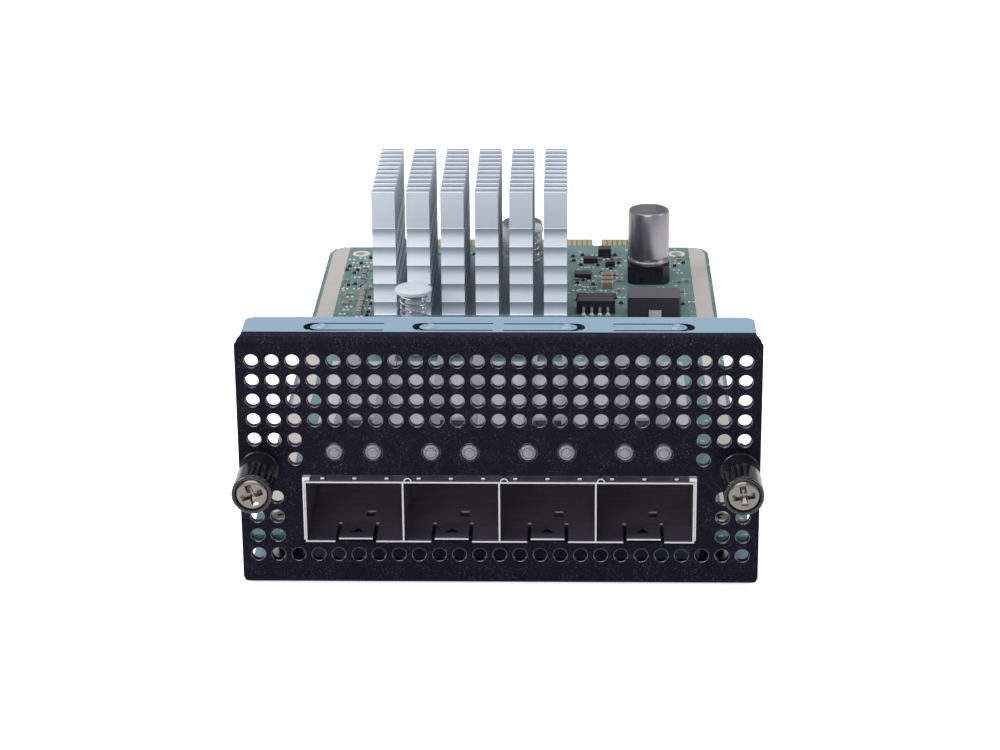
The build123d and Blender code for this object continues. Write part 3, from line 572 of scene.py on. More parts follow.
KNOB_PLASTIC = Finish("black_knob", "knob_black", srgb(16, 15, 21), 0.0, 0.24,
                      Pattern.GRAIN, 2600.0, 0.16, 0.15, 0.3)
FERRULE_PAINT = Finish("black_ferrule", "ferrule_black", srgb(16, 15, 21), 0.1, 0.28)


# Mesh making

def new_piece(name: str, mesh: bmesh.types.BMesh,
              smooth_angle: float = SMOOTH_ANGLE) -> bpy.types.Object:
    """Turns a drawing-frame bmesh into a placed object.

    Args:
        name: the piece's name.
        mesh: the geometry in drawing millimetres; it is freed.
        smooth_angle: edges sharper than this many degrees stay sharp.

    Returns:
        The new object, at the origin, with its place in its mesh.
    """
    bmesh.ops.remove_doubles(mesh, verts=mesh.verts, dist=1e-5)
    bmesh.ops.recalc_face_normals(mesh, faces=mesh.faces)
    mesh.transform(PLACE)
    data = bpy.data.meshes.new(name)
    mesh.to_mesh(data)
    mesh.free()
    data.shade_smooth()
    data.set_sharp_from_angle(angle=math.radians(smooth_angle))
    piece = bpy.data.objects.new(name, data)
    bpy.context.scene.collection.objects.link(piece)
    return piece


def add_lathe(mesh: bmesh.types.BMesh, profile: Sequence[Point2], centre: Point3,
              axis: str = "Z", sides: int = 36, capped: bool = True) -> None:
    """Turns a profile about an axis.

    Args:
        mesh: where the faces go.
        profile: (radius, height) points from one end to the other.
        centre: a point of the axis; heights count from it.
        axis: "Z" up or "Y" back.
        sides: flats round the piece.
        capped: whether ends that stop short of the axis are closed flat.
    """
    rings = []
    for radius, height in profile:
        ring = []
        for step in range(sides if radius > 1e-6 else 1):
            angle = 2 * math.pi * step / sides
            u, v = radius * math.cos(angle), radius * math.sin(angle)
            spot = (u, v, height) if axis == "Z" else (u, height, v)
            ring.append(mesh.verts.new(Vector(spot) + Vector(centre)))
        rings.append(ring)
    for low, high in zip(rings, rings[1:]):
        for step in range(sides):
            after = (step + 1) % sides
            corners = []
            for ring, index in ((low, step), (low, after), (high, after), (high, step)):
                vert = ring[index % len(ring)]
                if vert not in corners:
                    corners.append(vert)
            if len(corners) > 2:
                mesh.faces.new(corners)
    for ring in (rings[0], rings[-1]):
        if len(ring) > 1 and capped:
            mesh.faces.new(ring)


def bridge(mesh: bmesh.types.BMesh, rings: Sequence[Sequence[bmesh.types.BMVert]]) -> None:
    """Joins each ring of corners to the next one with four-sided faces."""
    for low, high in zip(rings, rings[1:]):
        count = len(low)
        for index in range(count):
            after = (index + 1) % count
            mesh.faces.new((low[index], low[after], high[after], high[index]))


def add_prism(mesh: bmesh.types.BMesh, outline: Sequence[Point3], reach: Point3) -> None:
    """Extrudes a closed flat outline by a vector.

    Args:
        mesh: where the faces go.
        outline: the corners of one end.
        reach: from that end to the other.
    """
    near = [mesh.verts.new(point) for point in outline]
    far = [mesh.verts.new(Vector(point) + Vector(reach)) for point in outline]
    mesh.faces.new(near)
    mesh.faces.new(list(reversed(far)))
    count = len(outline)
    for index in range(count):
        after = (index + 1) % count
        mesh.faces.new((near[index], far[index], far[after], near[after]))


def add_block(mesh: bmesh.types.BMesh, low: Sequence[float], high: Sequence[float],
              edge: float = 0.0) -> None:
    """A box between two corners, its edges rounded off by a width."""
    made = bmesh.ops.create_cube(mesh, size=1.0)["verts"]
    middle = (Vector(low) + Vector(high)) / 2
    size = Vector(high) - Vector(low)
    bmesh.ops.scale(mesh, verts=made, vec=size)
    bmesh.ops.translate(mesh, verts=made, vec=middle)
    if edge > 0:
        edges = list({e for v in made for e in v.link_edges})
        bmesh.ops.bevel(mesh, geom=edges, offset=edge, segments=2, profile=0.6, affect="EDGES")


def settle(piece: bpy.types.Object) -> bpy.types.Object:
    """Turns a piece and its modifiers into one plain mesh.

    Args:
        piece: the object to convert.

    Returns:
        The same object, with no modifier left.
    """
    bpy.context.view_layer.update()
    seen = piece.evaluated_get(bpy.context.evaluated_depsgraph_get())
    data = bpy.data.meshes.new_from_object(seen)
    piece.modifiers.clear()
    piece.data = data
    return piece


def finish_piece(piece: bpy.types.Object, finish: Finish, body: str = "module",
                 stands_for: Iterable[str] = ()) -> bpy.types.Object:
    """Dresses a piece, lets it ride on its body and hides the nodes it stands for.

    Args:
        piece: the new object.
        finish: its surface.
        body: the CAD body it moves with.
        stands_for: CAD nodes that it replaces.

    Returns:
        The same object.
    """
    piece.data.materials.clear()
    piece.data.materials.append(finish.material())
    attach(piece, body)
    nodes = list(stands_for)
    if nodes:
        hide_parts(*nodes)
    log.info("piece %s rides on %s with %s", piece.name, body, finish.name)
    return piece


# Geometry Nodes

class RuleTree:
    """One Geometry Nodes tree with named inputs; it ends in Realize Instances, Set Material."""

    def __init__(self, name: str, inputs: dict[str, tuple[str, object]]) -> None:
        """Makes the group and its inputs.

        Args:
            name: the tree's name.
            inputs: name of each input, with its socket type and default.
        """
        self.tree = bpy.data.node_groups.new(name, "GeometryNodeTree")
        face = self.tree.interface
        face.new_socket("Geometry", in_out="OUTPUT", socket_type="NodeSocketGeometry")
        face.new_socket("Geometry", in_out="INPUT", socket_type="NodeSocketGeometry")
        for label, (kind, value) in inputs.items():
            socket = face.new_socket(label, in_out="INPUT", socket_type=kind)
            if value is not None:
                socket.default_value = value
        face.new_socket("Material", in_out="INPUT", socket_type="NodeSocketMaterial")
        self.inlet = self.add("NodeGroupInput")
        self.outlet = self.add("NodeGroupOutput")

    def add(self, kind: str, **settings: object) -> bpy.types.Node:
        """Adds a node and sets its properties."""
        node = self.tree.nodes.new(kind)
        for name, value in settings.items():
            setattr(node, name, value)
        return node

    def join(self, source: bpy.types.NodeSocket, target: bpy.types.NodeSocket) -> None:
        """Links two sockets."""
        self.tree.links.new(source, target)

    def value(self, name: str) -> bpy.types.NodeSocket:
        """The socket of a named input."""
        return self.inlet.outputs[name]

    def maths(self, operation: str, first: object, second: object = 0.0) -> bpy.types.NodeSocket:
        """One maths step on sockets or numbers."""
        node = self.add("ShaderNodeMath", operation=operation)
        for index, given in enumerate((first, second)):
            if isinstance(given, bpy.types.NodeSocket):
                self.join(given, node.inputs[index])
            else:
                node.inputs[index].default_value = given
        return node.outputs[0]

    def together(self, *parts: bpy.types.NodeSocket) -> bpy.types.NodeSocket:
        """Joins several geometries into one."""
        node = self.add("GeometryNodeJoinGeometry")
        for part in parts:
            self.join(part, node.inputs[0])
        return node.outputs[0]

    def stamped(self, points: bpy.types.NodeSocket,
                shape: bpy.types.NodeSocket) -> bpy.types.NodeSocket:
        """Sets a shape on every point and makes the copies real."""
        node = self.add("GeometryNodeInstanceOnPoints")
        self.join(points, node.inputs["Points"])
        self.join(shape, node.inputs["Instance"])
        real = self.add("GeometryNodeRealizeInstances")
        self.join(node.outputs[0], real.inputs[0])
        return real.outputs[0]

    def upward(self, name: str) -> bpy.types.NodeSocket:
        """A vector along +Z as long as a named input."""
        node = self.add("ShaderNodeCombineXYZ")
        self.join(self.value(name), node.inputs["Z"])
        return node.outputs[0]

    def close(self, geometry: bpy.types.NodeSocket) -> None:
        """Ends the tree: instances made real, then the material set."""
        real = self.add("GeometryNodeRealizeInstances")
        dressed = self.add("GeometryNodeSetMaterial")
        self.join(geometry, real.inputs[0])
        self.join(real.outputs[0], dressed.inputs["Geometry"])
        self.join(self.value("Material"), dressed.inputs["Material"])
        self.join(dressed.outputs[0], self.outlet.inputs[0])

    def apply(self, piece: bpy.types.Object, finish: Finish, **values: object) -> bpy.types.Object:
        """Runs the tree on a piece and keeps the result as its plain mesh.

        Args:
            piece: the object that carries the tree's starting geometry.
            finish: the material to set.
            values: the named inputs, with underscores for spaces.

        Returns:
            The same object, its modifier gone.
        """
        modifier = piece.modifiers.new(self.tree.name, "NODES")
        modifier.node_group = self.tree
        given = {name.replace("_", " "): value for name, value in values.items()}
        given["Material"] = finish.material()
        for item in self.tree.interface.items_tree:
            if item.in_out == "INPUT" and item.name in given:
                modifier[item.identifier] = given[item.name]
        return settle(piece)


def perforated_plate_tree() -> RuleTree:
    """A flat sheet: loose points become round holes, closed edge loops its outline and windows."""
    rule = RuleTree("perforated_plate", {
        "Mouth Radius": ("NodeSocketFloat", 1.1), "Hole Sides": ("NodeSocketInt", 28),
        "Hole Wall": ("NodeSocketObject", None), "Thickness": ("NodeSocketFloat", 1.0)})
    neighbours = rule.add("GeometryNodeInputMeshVertexNeighbors")
    lone = rule.add("FunctionNodeCompare", data_type="INT", operation="EQUAL")
    rule.join(neighbours.outputs["Vertex Count"], [s for s in lone.inputs if s.type == "INT"][0])
    points = rule.add("GeometryNodeMeshToPoints")
    rule.join(rule.value("Geometry"), points.inputs["Mesh"])
    rule.join(lone.outputs[0], points.inputs["Selection"])
    ring = rule.add("GeometryNodeCurvePrimitiveCircle")
    rule.join(rule.value("Mouth Radius"), ring.inputs["Radius"])
    rule.join(rule.value("Hole Sides"), ring.inputs["Resolution"])
    mouths = rule.stamped(points.outputs[0], ring.outputs[0])
    outline = rule.add("GeometryNodeMeshToCurve")
    rule.join(rule.value("Geometry"), outline.inputs["Mesh"])
    fill = rule.add("GeometryNodeFillCurve")
    rule.join(rule.together(mouths, outline.outputs[0]), fill.inputs["Curve"])
    front = rule.add("GeometryNodeSetPosition")
    rule.join(fill.outputs[0], front.inputs["Geometry"])
    rule.join(rule.upward("Thickness"), front.inputs["Offset"])
    back = rule.add("GeometryNodeFlipFaces")
    rule.join(fill.outputs[0], back.inputs[0])
    edge = rule.add("GeometryNodeExtrudeMesh", mode="EDGES")
    rule.join(rule.value("Geometry"), edge.inputs["Mesh"])
    rule.join(rule.upward("Thickness"), edge.inputs["Offset"])
    wall = rule.add("GeometryNodeObjectInfo", transform_space="ORIGINAL")
    rule.join(rule.value("Hole Wall"), wall.inputs["Object"])
    walls = rule.stamped(points.outputs[0], wall.outputs["Geometry"])
    welded = rule.add("GeometryNodeMergeByDistance")
    welded.inputs["Distance"].default_value = 0.0008
    sheet = rule.together(front.outputs[0], back.outputs[0], edge.outputs[0], walls)
    rule.join(sheet, welded.inputs[0])
    rule.close(welded.outputs[0])
    return rule


def grid_tree() -> RuleTree:
    """Repeats a piece in columns and rows on a grid centred on the origin."""
    rule = RuleTree("sawn_grid", {
        "Columns": ("NodeSocketInt", 6), "Rows": ("NodeSocketInt", 11),
        "Pitch X": ("NodeSocketFloat", 6.0), "Pitch Y": ("NodeSocketFloat", 2.6)})
    grid = rule.add("GeometryNodeMeshGrid")
    for name, count, pitch in (("X", "Columns", "Pitch X"), ("Y", "Rows", "Pitch Y")):
        spans = rule.maths("SUBTRACT", rule.value(count), 1.0)
        rule.join(rule.maths("MULTIPLY", spans, rule.value(pitch)), grid.inputs[f"Size {name}"])
        rule.join(rule.value(count), grid.inputs[f"Vertices {name}"])
    stamped = rule.add("GeometryNodeInstanceOnPoints")
    rule.join(grid.outputs["Mesh"], stamped.inputs["Points"])
    rule.join(rule.value("Geometry"), stamped.inputs["Instance"])
    rule.close(stamped.outputs[0])
    return rule


def coil_tree() -> RuleTree:
    """A round wire wound on a helix that stands on the origin."""
    rule = RuleTree("wound_coil", {
        "Radius": ("NodeSocketFloat", 2.0), "Wire": ("NodeSocketFloat", 0.25),
        "Turns": ("NodeSocketFloat", 5.0), "Height": ("NodeSocketFloat", 6.0),
        "Sides": ("NodeSocketInt", 8)})
    helix = rule.add("GeometryNodeCurveSpiral")
    helix.inputs["Resolution"].default_value = 24
    rule.join(rule.value("Turns"), helix.inputs["Rotations"])
    rule.join(rule.value("Height"), helix.inputs["Height"])
    for end in ("Start Radius", "End Radius"):
        rule.join(rule.value("Radius"), helix.inputs[end])
    ring = rule.add("GeometryNodeCurvePrimitiveCircle")
    rule.join(rule.value("Wire"), ring.inputs["Radius"])
    rule.join(rule.value("Sides"), ring.inputs["Resolution"])
    swept = rule.add("GeometryNodeCurveToMesh")
    swept.inputs["Fill Caps"].default_value = True
    rule.join(helix.outputs[0], swept.inputs["Curve"])
    rule.join(ring.outputs[0], swept.inputs["Profile Curve"])
    rule.close(swept.outputs[0])
    return rule


def stamp_tree() -> RuleTree:
    """Sets a stamp object on every point of the piece's mesh."""
    rule = RuleTree("stamp_on_points", {"Stamp": ("NodeSocketObject", None)})
    source = rule.add("GeometryNodeObjectInfo", transform_space="ORIGINAL")
    rule.join(rule.value("Stamp"), source.inputs["Object"])
    points = rule.add("GeometryNodeMeshToPoints")
    rule.join(rule.value("Geometry"), points.inputs["Mesh"])
    stamped = rule.add("GeometryNodeInstanceOnPoints")
    rule.join(points.outputs[0], stamped.inputs["Points"])
    rule.join(source.outputs["Geometry"], stamped.inputs["Instance"])
    rule.close(stamped.outputs[0])
    return rule


PERFORATED = perforated_plate_tree()
GRID = grid_tree()
COIL = coil_tree()
STAMP = stamp_tree()


def rule_piece(name: str, mesh: bmesh.types.BMesh) -> bpy.types.Object:
    """An unplaced object that holds a tree's starting geometry; the bmesh is freed."""
    data = bpy.data.meshes.new(name)
    mesh.to_mesh(data)
    mesh.free()
    piece = bpy.data.objects.new(name, data)
    bpy.context.scene.collection.objects.link(piece)
    return piece


def placed(piece: bpy.types.Object, turn: Optional[Matrix] = None,
           smooth_angle: float = SMOOTH_ANGLE, bevel: float = 0.0) -> bpy.types.Object:
    """Turns a tree's result into the drawing frame, then places it in the module.

    Args:
        piece: the object, its mesh in the tree's own millimetres.
        turn: where that mesh goes in the drawing frame.
        smooth_angle: edges sharper than this many degrees stay sharp.
        bevel: width in millimetres taken off sharp edges, or 0.

    Returns:
        The same object.
    """
    mesh = bmesh.new()
    mesh.from_mesh(piece.data)
    bmesh.ops.remove_doubles(mesh, verts=mesh.verts, dist=1e-4)
    if bevel > 0:
        bmesh.ops.dissolve_limit(mesh, angle_limit=0.02, verts=mesh.verts, edges=mesh.edges)
        sharp = [e for e in mesh.edges
                 if len(e.link_faces) == 2 and e.calc_face_angle(0.0) > 1.0]
        bmesh.ops.bevel(mesh, geom=sharp, offset=bevel, segments=1, affect="EDGES",
                        clamp_overlap=True)
        bmesh.ops.triangulate(mesh, faces=[f for f in mesh.faces if len(f.verts) > 4])
    bmesh.ops.recalc_face_normals(mesh, faces=mesh.faces)
    mesh.transform(PLACE @ (turn or Matrix.Identity(4)))
    mesh.to_mesh(piece.data)
    mesh.free()
    piece.data.shade_smooth()
    piece.data.set_sharp_from_angle(angle=math.radians(smooth_angle))
    return piece


def stamp(name: str, spots: Sequence[Point3], half: Point2, height: float, finish: Finish,
          edge: float, stands_for: Iterable[str] = ()) -> bpy.types.Object:
    """Repeats one small block at many places on the board.

    Args:
        name: the piece's name.
        spots: places in drawing millimetres.
        half: half the block's width and half its length.
        height: how far it rises from its spot.
        finish: its surface.
        edge: rounding of its edges.
        stands_for: CAD nodes that it replaces.

    Returns:
        The piece.
    """
    block = bmesh.new()
    add_block(block, (-half[0], -half[1], 0), (*half, height), edge)
    source = rule_piece(name + "_stamp", block)
    points = bmesh.new()
    for spot in spots:
        points.verts.new(spot)
    piece = STAMP.apply(rule_piece(name, points), finish, Stamp=source)
    bpy.data.objects.remove(source)
    return finish_piece(placed(piece), finish, stands_for=stands_for)


# Sub-assemblies

@dataclass(frozen=True)
class Fold:
    """One folded edge of the bezel.

    Attributes:
        name: which fold it is.
        radius: outside radius of its bend.
        depth: how far back from the face it reaches.
        inset: how much narrower than the face it is, each side.
        up: 1 for the top fold, -1 for the bottom one.
    """

    name: str
    radius: float
    depth: float
    inset: float
    up: int


@dataclass
class Bezel:
    """Folded front sheet: punched face, painted bends, bare folds with spring fingers."""

    width: float = BEZEL_WIDTH
    height: float = 39.6
    sheet: float = 1.0
    top: Fold = Fold("top_fold", 1.5, 7.8, 1.0, 1)
    bottom: Fold = Fold("bottom_fold", 1.0, 14.0, 0.7, -1)
    hole_radius: float = 1.0
    chamfer: float = 0.11
    hole_sides: int = 28
    pitch: Point2 = (3.0, 3.08)
    first_row: float = 4.8
    rows: int = 11
    columns: int = 25
    finger_row: float = 3.75
    finger_length: float = 11.9
    finger_centres: tuple[tuple[float, int], ...] = ((-22.7, -1), (-6.7, -1), (6.7, 1), (22.7, 1))
    window: tuple[float, float, float] = (29.175, 7.0, 17.65)

    def hole_places(self) -> list[Point2]:
        """Centres of the ventilation holes, as (x, z)."""
        kept = {1: 2, 2: 2, 3: 2, 4: 0, 6: 3}
        places = []
        last = self.columns - 1
        for row in range(self.rows):
            for column in range(self.columns):
                from_end = min(column, last - column)
                if from_end == 2 if row == 5 else from_end < kept.get(row, self.columns):
                    places.append(((column - last // 2) * self.pitch[0],
                                   self.first_row + row * self.pitch[1]))
        return places

    def hole_wall(self) -> bpy.types.Object:
        """The wall of one punched hole with its worn mouth, an open ring of faces."""
        mesh = bmesh.new()
        bore, mouth = self.hole_radius, self.hole_radius + self.chamfer
        add_lathe(mesh, [(mouth, 0), (bore, 0.03), (bore, self.sheet - self.chamfer),
                         (bore + 0.03, self.sheet - 0.04), (mouth, self.sheet)],
                  (0, 0, 0), sides=self.hole_sides, capped=False)
        return rule_piece("hole_wall", mesh)

    def plate(self, name: str, mesh: bmesh.types.BMesh, finish: Finish, place: Matrix,
              bevel: float = 0.0) -> bpy.types.Object:
        """Cuts a flat plate from loops and points and puts it in place."""
        wall = self.hole_wall()
        piece = PERFORATED.apply(rule_piece(name, mesh), finish,
                                 Mouth_Radius=self.hole_radius + self.chamfer,
                                 Hole_Sides=self.hole_sides, Hole_Wall=wall, Thickness=self.sheet)
        bpy.data.objects.remove(wall)
        return placed(piece, place, 25.0, bevel)

    def face(self) -> bpy.types.Object:
        """Builds the flat face between the two bends."""
        low, high = self.bottom.radius, self.height - self.top.radius
        half, window_low, window_high = self.window
        mesh = bmesh.new()
        for side, bottom, top in ((self.width / 2, low, high), (half, window_low, window_high)):
            self.loop(mesh, [(-side, bottom), (side, bottom), (side, top), (-side, top)])
        for x, z in self.hole_places():
            mesh.verts.new((x, z, 0))
        for x in PORT_X:
            for side in (-1, 1):
                self.circle(mesh, x + side * LIGHT_OFFSET, LIGHT_HEIGHT, 1.3)
        for side in (-1, 1):
            self.circle(mesh, side * (self.width / 2 - SCREW_INSET), SCREW_HEIGHT, 2.22)
        upright = Matrix(((1, 0, 0, 0), (0, 0, -1, self.sheet), (0, 1, 0, 0), (0, 0, 0, 1)))
        piece = self.plate("bezel_face", mesh, PUNCHED_PAINT, upright)
        return finish_piece(piece, PUNCHED_PAINT, stands_for=["front_bezel"])

    @staticmethod
    def loop(mesh: bmesh.types.BMesh, corners: Sequence[Point2]) -> None:
        """Adds a closed loop of edges in the sheet's plane."""
        verts = [mesh.verts.new((x, y, 0)) for x, y in corners]
        for first, second in zip(verts, verts[1:] + verts[:1]):
            mesh.edges.new((first, second))

    def circle(self, mesh: bmesh.types.BMesh, x: float, y: float, radius: float,
               sides: int = 30) -> None:
        """Adds a round loop of its own radius."""
        self.loop(mesh, [(x + radius * math.cos(2 * math.pi * i / sides),
                          y + radius * math.sin(2 * math.pi * i / sides)) for i in range(sides)])

    def half_width(self, fold: Fold, rise: float) -> float:
        """Half the width of a bend at a rise from its start, rounded like a shoulder."""
        steps = [(0.0, 0.15), (0.33, 0.25), (0.66, 0.5), (0.94, 1.0), (1.01, 1.0)]
        share = min(1.0, max(0.0, rise / fold.radius))
        for (low, first), (high, second) in zip(steps, steps[1:]):
            if share <= high:
                inset = first + (second - first) * (share - low) / (high - low)
                return self.width / 2 - fold.inset * inset
        return self.width / 2 - fold.inset

    def bend(self, fold: Fold) -> bpy.types.Object:
        """Builds one painted quarter bend with rounded shoulders."""
        mesh = bmesh.new()
        start = self.height - fold.radius if fold.up > 0 else fold.radius
        inner = max(0.02, fold.radius - self.sheet)
        rings = []
        for step in range(13):
            angle = math.pi / 2 * step / 12
            ring = []
            for radius, sides in ((fold.radius, (-1, 1)), (inner, (1, -1))):
                rise = radius * math.sin(angle)
                half = self.half_width(fold, fold.radius * math.sin(angle))
                ring += [mesh.verts.new((side * half, fold.radius - radius * math.cos(angle),
                                         start + fold.up * rise)) for side in sides]
            rings.append(ring)
        bridge(mesh, rings)
        mesh.faces.new(rings[0])
        mesh.faces.new(rings[-1])
        return finish_piece(new_piece(fold.name + "_bend", mesh, 40.0), BLACK_PAINT)

    def finger_outline(self, centre: float, outward: int) -> list[Point2]:
        """Corners of the slit that frees one finger: two legs and a wide nose gap."""
        length, tongue, slit, nose = self.finger_length, 2.3, 0.5, 1.15
        outer, inner = tongue / 2 + slit, tongue / 2
        tip = length - nose
        path = [(0.0, -outer)] + self.nose(length - outer * 0.9, outer * 0.9, outer)
        path += [(0.0, outer), (0.0, inner)]
        path += self.nose(tip - inner, inner, inner)[::-1] + [(0.0, -inner)]
        root = centre - outward * length / 2
        return [(root + outward * u, self.finger_row + v) for u, v in path]

    @staticmethod
    def nose(start: float, reach: float, half: float) -> list[Point2]:
        """A round finger end from one side to the other."""
        return [(start + reach * math.sin(math.pi * i / 10), -half * math.cos(math.pi * i / 10))
                for i in range(11)]

    def fold(self, fold: Fold) -> bpy.types.Object:
        """Builds one flat fold behind its bend, with its spring fingers if it is the top one."""
        half, corner = self.width / 2 - fold.inset, 1.4
        mesh = bmesh.new()
        outline = [(-half, fold.radius), (half, fold.radius)]
        for side in (1, -1):
            arc = [(side * (half - corner + corner * math.cos(math.pi / 2 * i / 6)),
                    fold.depth - corner + corner * math.sin(math.pi / 2 * i / 6))
                   for i in range(7)]
            outline += arc if side > 0 else arc[::-1]
        self.loop(mesh, outline)
        if fold.up > 0:
            for centre, outward in self.finger_centres:
                self.loop(mesh, self.finger_outline(centre, outward))
        level = self.height - self.sheet if fold.up > 0 else 0.0
        piece = self.plate(fold.name, mesh, BARE_FOLD, Matrix.Translation((0, 0, level)), 0.09)
        return finish_piece(piece, BARE_FOLD)

    def dimples(self) -> bpy.types.Object:
        """Builds the pressed dimple on each finger."""
        mesh = bmesh.new()
        for centre, outward in self.finger_centres:
            x = centre + outward * (self.finger_length / 2 - 2.7)
            add_lathe(mesh, [(0.95, -0.05), (0.88, 0.14), (0.74, 0.24), (0.6, 0.25), (0.5, 0.1),
                             (0.3, 0.08), (0.12, 0.2), (0, 0.22)],
                      (x, self.finger_row, self.height), sides=20)
        return finish_piece(new_piece("finger_dimples", mesh, 60.0), BARE_FOLD)

    def light_rims(self) -> bpy.types.Object:
        """Builds the raised burr round each light guide's hole."""
        mesh = bmesh.new()
        for x in PORT_X:
            for side in (-1, 1):
                add_lathe(mesh, [(1.29, 0.05), (1.33, -0.035), (1.39, -0.045), (1.47, 0.01)],
                          (x + side * LIGHT_OFFSET, 0, LIGHT_HEIGHT), "Y", 30, capped=False)
        return finish_piece(new_piece("light_hole_rims", mesh, 60.0), PUNCHED_PAINT)

    def pillars(self) -> bpy.types.Object:
        """Builds the two clinched pillars under the board."""
        mesh = bmesh.new()
        top = drawn_box("circuit_board")[0].z
        for x, y in BOARD_SCREWS:
            add_lathe(mesh, [(1.25, self.sheet), (2.5, self.sheet), (2.5, top - 0.1), (2.4, top),
                             (1.25, top), (1.25, self.sheet)], (x, y, 0), sides=28, capped=False)
        return finish_piece(new_piece("board_pillars", mesh), BRIGHT_SCREW)

    def build(self) -> None:
        """Builds every piece of the bezel."""
        self.face()
        for fold in (self.top, self.bottom):
            self.bend(fold)
            self.fold(fold)
        self.dimples()
        self.light_rims()
        self.pillars()


def cross_recess(piece: bpy.types.Object, centre: Point3, axis: str, arm: float, width: float,
                 depth: float, turn: float) -> None:
    """Cuts a tapered cross into a screw head.

    Args:
        piece: the screw, already placed.
        centre: middle of the head's face, in drawing millimetres.
        axis: "Y" when the head looks forward, "Z" when it looks up.
        arm: end-to-end length of the cross.
        width: width of an arm.
        depth: depth of the cross.
        turn: its angle in degrees.
    """
    for extra in (0.0, 90.0):
        angle = math.radians(turn + extra)
        along = Vector((math.cos(angle), math.sin(angle), 0))
        over = Vector((-math.sin(angle), math.cos(angle), 0))
        mesh = bmesh.new()
        rings = []
        for reach, half, level in ((arm / 2, width / 2, 0.3), (arm / 2, width / 2, 0.0),
                                   (arm / 2.7, width / 2.5, -0.6 * depth),
                                   (arm / 12, width / 9, -depth)):
            down = Vector((0, 0, level))
            rings.append([mesh.verts.new(along * reach * a + over * half * b + down)
                          for a, b in ((-1, -1), (1, -1), (1, 1), (-1, 1))])
        mesh.faces.new(rings[0])
        mesh.faces.new(rings[-1])
        bridge(mesh, rings)
        turned = Matrix.Rotation(math.pi / 2, 4, "X") if axis == "Y" else Matrix.Identity(4)
        mesh.transform(Matrix.Translation(centre) @ turned)
        cutter = new_piece(f"{piece.name}_cutter", mesh)
        cut = piece.modifiers.new("recess", "BOOLEAN")
        cut.operation, cut.solver, cut.object = "DIFFERENCE", "EXACT", cutter
        settle(piece)
        bpy.data.objects.remove(cutter)
    piece.data.set_sharp_from_angle(angle=math.radians(SMOOTH_ANGLE))


@dataclass
class BoardScrews:
    """The two pan-head screws at the board's front corners."""

    places: tuple[Point2, ...] = BOARD_SCREWS
    head: float = 2.3

    def build(self) -> None:
        """Builds both screws as one piece."""
        low, high = drawn_box("board_screws")
        board = drawn_box("circuit_board")[1].z
        mesh = bmesh.new()
        for x, y in self.places:
            add_lathe(mesh, [(0, low.z), (1.0, low.z), (1.2, low.z + 0.3), (1.2, board),
                             (self.head, board), (self.head, board + 0.7),
                             (self.head - 0.2, board + 1.1), (1.5, high.z), (0, high.z)],
                      (x, y, 0), sides=32)
        piece = new_piece("board_screw_pair", mesh)
        for x, y in self.places:
            cross_recess(piece, (x, y, high.z), "Z", 2.5, 0.62, 0.9, 25.0)
        finish_piece(piece, BRIGHT_SCREW, stands_for=["board_screws"])


